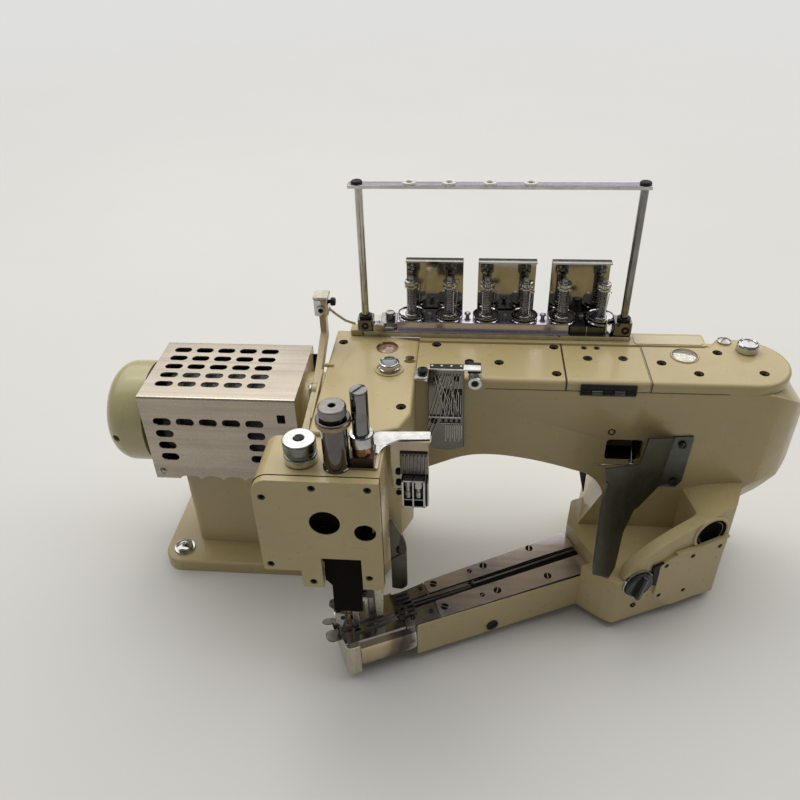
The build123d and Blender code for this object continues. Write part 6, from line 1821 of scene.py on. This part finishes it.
class SEAMER_OT_lifter(bpy.types.Operator):
    """Lifter lever with its twin strip, end block, knob and pin."""

    bl_idname = "seamer.lifter"
    bl_label = "Lifter"

    def execute(self, context):
        edge_copy("lift_lever", "lever_strip", 0.7, "cream_enamel", "lifter")
        second = rounded(((-101, 227.5), (-36, 237.0), (-36, 241.5), (-101, 232.0)), 1.4, 4)
        parts = (slab(second, ((0.4, 0), (0, 0.4), (0, 1.8), (0.4, 2.2)), side_of(63.6)),)
        put("lever_twin", "cream_enamel", "paint", *parts, body="lifter")
        block = (
            bar((53.4, 4.4, 273.6), (66.6, 19.6, 291.0), 0.8, corner=1.6),
            turned(
                ((2.2, 0), (4.8, 0), (4.8, 1.4), (4.4, 1.8), (2.6, 1.8), (2.2, 1.4)),
                at(60, 4.6, 280.5), FRONT, 32, closed=True,
            ),
        )
        put("lever_block", "bright_chrome", "polished", *block, body="lifter")
        put(
            "lever_pad", "ivory_steel", "paint",
            bar((52.8, 3.8, 291.0), (67.2, 20.2, 293.6), 0.6, corner=1.6), body="lifter",
        )
        knob = (
            (0, 0), (1.8, 0), (1.8, 1.6), (3.6, 2.2), (4.0, 3.0), (4.0, 5.6), (3.2, 6.6), (0, 6.9),
        )
        parts = (
            turned(knob, at(66.4, 12.5, 285.5), (1, 0, 0), 32),
            socket_screw(at(60.0, 4.2, 280.5), FRONT, 2.1, 1.4, 1.1),
        )
        put("lever_knob", "black_oxide", "black_metal", *parts, body="lifter")
        path = [
            at(66.0, 13.0, 278.0), at(72.0, 16.0, 270.0), at(80.0, 22.0, 259.6),
            at(87.5, 28.2, 253.1),
        ]
        parts = (tube(path, 1.25 * MM, 12),)
        put("lever_pin", "ivory_steel", "paint", *parts, body="lifter")
        parts = (
            bar((83.0, 26.5, 240.2), (95.2, 40.0, 246.3), 0.7, corner=2.0),
            turned(
                ((0, 0), (1.9, 0), (1.9, 8.5), (1.5, 9.2), (0, 9.2)), at(74.4, -29.0, 240.4),
                (-1, 0, 0.04), 24,
            ),
        )
        put("lever_rest", "cream_enamel", "paint", *parts)
        hub = ((4.15, 3.2), (7.6, 3.2), (8.2, 3.8), (8.2, 5.2), (7.6, 5.8), (4.15, 5.8))
        nut = turned(hub, at(60.0, -50.0, 224.0), (-1, 0, 0), 48, closed=True)
        put("lever_washer", "machined_steel", "steel", nut, body="lifter")
        return {"FINISHED"}


# Drive end


class SEAMER_OT_drive_end(bpy.types.Operator):
    """Screws of the handwheel and flange, hood screws and the painted shade inside the hood."""

    bl_idname = "seamer.drive_end"
    bl_label = "Drive end"

    def execute(self, context):
        grub = (
            (0, 0), (3.9, 0), (3.9, 4.4), (3.4, 4.9), (1.9, 4.9), (1.7, 4.5), (1.7, 2.6), (0, 2.6),
        )
        shape = np.ones((len(grub), 36))
        shape[4:7] = hexagon(36)
        put(
            "wheel_grub", "black_oxide", "black_metal",
            turned(grub, at(-148.0, -38.0, DRIVE_AXIS), FRONT, 36, shape), body="drive",
        )
        hub = (
            (0, 0), (9.0, 0), (9.6, 0.5), (9.6, 2.6), (8.8, 3.4), (5.6, 3.4), (5.0, 2.4), (0, 2.4),
        )
        put(
            "wheel_boss", "machined_steel", "steel",
            turned(hub, at(-163.6, 0, DRIVE_AXIS), (-1, 0, 0), 56), body="drive",
        )
        ring = ((3.8, 0), (6.6, 0), (6.6, 1.0), (6.0, 1.6), (4.2, 1.6), (3.8, 1.2))
        parts = (turned(ring, at(50.0, -9.5, 203.2), (0, -0.18, 0.98), 40, closed=True),)
        put("flange_boss", "cream_enamel", "paint", *parts)
        put(
            "flange_screw", "black_oxide", "black_metal",
            socket_screw(at(50.0, -9.3, 202.2), (0, -0.18, 0.98), 3.7, 1.8, 2.0),
        )
        parts = []
        for x in (-108.0, 30.0):
            for y, facing in ((-51.0, -1), (51.0, 1)):
                parts.append(
                    slotted_head(at(x, y, 121.0), (0, facing, 0), 3.4, 1.0, 1.2, 0.9, 0.9, 36, x)
                )
        put("hood_screws", "machined_steel", "steel", *parts)
        # Near-black plates inside the motor hood: painted shade seen through its slots.
        shade = (
            bar((-111.0, -47.0, 116.5), (-64.0, 47.0, 118.0), 0.3),
            bar((-111.0, -47.0, 118.0), (-110.0, -22.0, 205.0), 0.3),
            bar((-111.0, 22.0, 118.0), (-110.0, 47.0, 205.0), 0.3),
            bar((-111.0, -22.0, 118.0), (-110.0, 22.0, 139.0), 0.3),
            bar((-111.0, -22.0, 183.0), (-110.0, 22.0, 205.0), 0.3),
            bar((-110.0, 46.0, 118.0), (46.0, 47.0, 205.0), 0.3),
        )
        put("hood_shade", "matte_black_and_shade", "black_metal", *shade)
        return {"FINISHED"}


# Stage


BACKDROP = (0.74, 0.74, 0.73, 1.0)
FLOOR_SIZE = 24.0
FLOOR_FADE = (1.0, 3.6)
SKY_LIGHT = 0.16
LAMPS = (
    # name, place, target, width, power, colour
    ("ceiling", (0.3, 4.2, 4.2), (0.3, 4.2, 0.0), 14.5, 640.0, (1.0, 0.99, 0.97)),
    ("key", (-0.45, 0.7, 1.75), (0.2, 0.0, 0.15), 0.9, 6.0, (1.0, 0.98, 0.94)),
    ("side", (1.7, 0.2, 1.5), (0.2, 0.0, 0.15), 1.0, 2.0, (0.97, 0.98, 1.0)),
    ("front", (-0.8, -1.6, 0.9), (0.15, 0.0, 0.15), 1.4, 0.8, (1.0, 0.99, 0.97)),
)


class SEAMER_OT_stage(bpy.types.Operator):
    """Floor, soft lamps, sky and the camera at the photograph's angle."""

    bl_idname = "seamer.stage"
    bl_label = "Stage"

    def execute(self, context):
        scene = context.scene
        scene.view_settings.view_transform = "Standard"
        corner = np.array([[-1, -1], [1, -1], [1, 1], [-1, 1]]) * FLOOR_SIZE / 2
        mesh = bpy.data.meshes.new("floor")
        mesh.from_pydata([(x, y, 0.0) for x, y in corner.tolist()], [], [(0, 1, 2, 3)])
        floor = bpy.data.objects.new("floor", mesh)
        scene.collection.objects.link(floor)
        material = bpy.data.materials.new("floor")
        material.use_nodes = True
        tree = material.node_tree
        shader = tree.nodes["Principled BSDF"]
        where = tree.nodes.new("ShaderNodeTexCoord").outputs["Object"]
        tone = mix_colour(
            tree, noise(tree, where, 3.0), (0.66, 0.65, 0.62, 1.0), (0.70, 0.69, 0.66, 1.0)
        )
        tree.links.new(tone, shader.inputs["Base Color"])
        shader.inputs["Roughness"].default_value = 0.6
        rays = tree.nodes.new("ShaderNodeLightPath")
        far = place_node(tree, "ShaderNodeVectorMath", {0: where}, operation="LENGTH")
        fade = spread(tree, far.outputs["Value"], *FLOOR_FADE)
        seen = place_node(
            tree, "ShaderNodeMath", {
                0: fade, 1: rays.outputs["Is Camera Ray"],
            }, operation="MULTIPLY"
        )
        glow = place_node(tree, "ShaderNodeEmission", {"Color": BACKDROP, "Strength": 1.0})
        ends = {0: seen.outputs[0], 1: shader.outputs[0], 2: glow.outputs[0]}
        blend = place_node(tree, "ShaderNodeMixShader", ends)
        tree.links.new(blend.outputs[0], tree.nodes["Material Output"].inputs["Surface"])
        mesh.materials.append(material)
        for name, place, target, width, power, colour in LAMPS:
            lamp = bpy.data.lights.new(name, "AREA")
            lamp.shape = "RECTANGLE"
            lamp.size, lamp.size_y = width, width * 0.7
            lamp.energy = power
            lamp.color = colour
            holder = bpy.data.objects.new(name, lamp)
            holder.location = place
            aim = Vector(target) - Vector(place)
            holder.rotation_euler = aim.to_track_quat("-Z", "Y").to_euler()
            scene.collection.objects.link(holder)
        world = bpy.data.worlds.new("studio")
        scene.world = world
        world.use_nodes = True
        tree = world.node_tree
        light = tree.nodes["Background"]
        light.inputs["Color"].default_value = (0.9, 0.92, 0.95, 1.0)
        light.inputs["Strength"].default_value = SKY_LIGHT
        rays = tree.nodes.new("ShaderNodeLightPath")
        seen = place_node(tree, "ShaderNodeBackground", {"Color": BACKDROP, "Strength": 1.0})
        ends = {0: rays.outputs["Is Camera Ray"], 1: light.outputs[0], 2: seen.outputs[0]}
        choose = place_node(tree, "ShaderNodeMixShader", ends)
        tree.links.new(choose.outputs[0], tree.nodes["World Output"].inputs["Surface"])
        camera = bpy.data.cameras.new("camera")
        camera.lens = CAMERA_LENS
        camera.sensor_width = CAMERA_SENSOR
        camera.clip_start = 0.05
        holder = bpy.data.objects.new("camera", camera)
        turn = Matrix(CAMERA_AXES).transposed().to_4x4()
        holder.matrix_world = Matrix.Translation(CAMERA_PLACE) @ turn
        scene.collection.objects.link(holder)
        scene.camera = holder
        return {"FINISHED"}


# Panel and registration


class SEAMER_PT_pieces(bpy.types.Panel):
    """Lists the steps that build the machine's looks."""

    bl_idname = "SEAMER_PT_pieces"
    bl_label = "Flatlock sewing machine"
    bl_space_type = "VIEW_3D"
    bl_region_type = "UI"
    bl_category = "Seamer"

    def draw(self, context):
        layout = self.layout
        for owner, names in (
            (context.scene.seamer_paint, ("cream", "wheel")),
            (context.scene.seamer_metal, ("stainless", "spring_wire", "spring_turns")),
        ):
            for name in names:
                layout.prop(owner, name)
        for operator in OPERATORS:
            layout.operator(operator.bl_idname)


GROUPS = (SeamerPaint, SeamerMetal)
OPERATORS = (
    SEAMER_OT_finishes,
    SEAMER_OT_castings,
    SEAMER_OT_feed_top,
    SEAMER_OT_screws,
    SEAMER_OT_tensions,
    SEAMER_OT_guide_frame,
    SEAMER_OT_knobs,
    SEAMER_OT_thread_guides,
    SEAMER_OT_lid_fittings,
    SEAMER_OT_needle_area,
    SEAMER_OT_housing,
    SEAMER_OT_lifter,
    SEAMER_OT_drive_end,
    SEAMER_OT_stage,
)


def register():
    """Registers the settings, operators and panel."""
    for item in (*GROUPS, *OPERATORS, SEAMER_PT_pieces):
        bpy.utils.register_class(item)
    bpy.types.Scene.seamer_paint = bpy.props.PointerProperty(type=SeamerPaint)
    bpy.types.Scene.seamer_metal = bpy.props.PointerProperty(type=SeamerMetal)


def unregister():
    """Removes what register added."""
    del bpy.types.Scene.seamer_metal
    del bpy.types.Scene.seamer_paint
    for item in reversed((*GROUPS, *OPERATORS, SEAMER_PT_pieces)):
        bpy.utils.unregister_class(item)


def main():
    """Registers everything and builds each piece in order."""
    register()
    for operator in OPERATORS:
        module, name = operator.bl_idname.split(".")
        getattr(getattr(bpy.ops, module), name)()


if __name__ == "__main__":
    main()
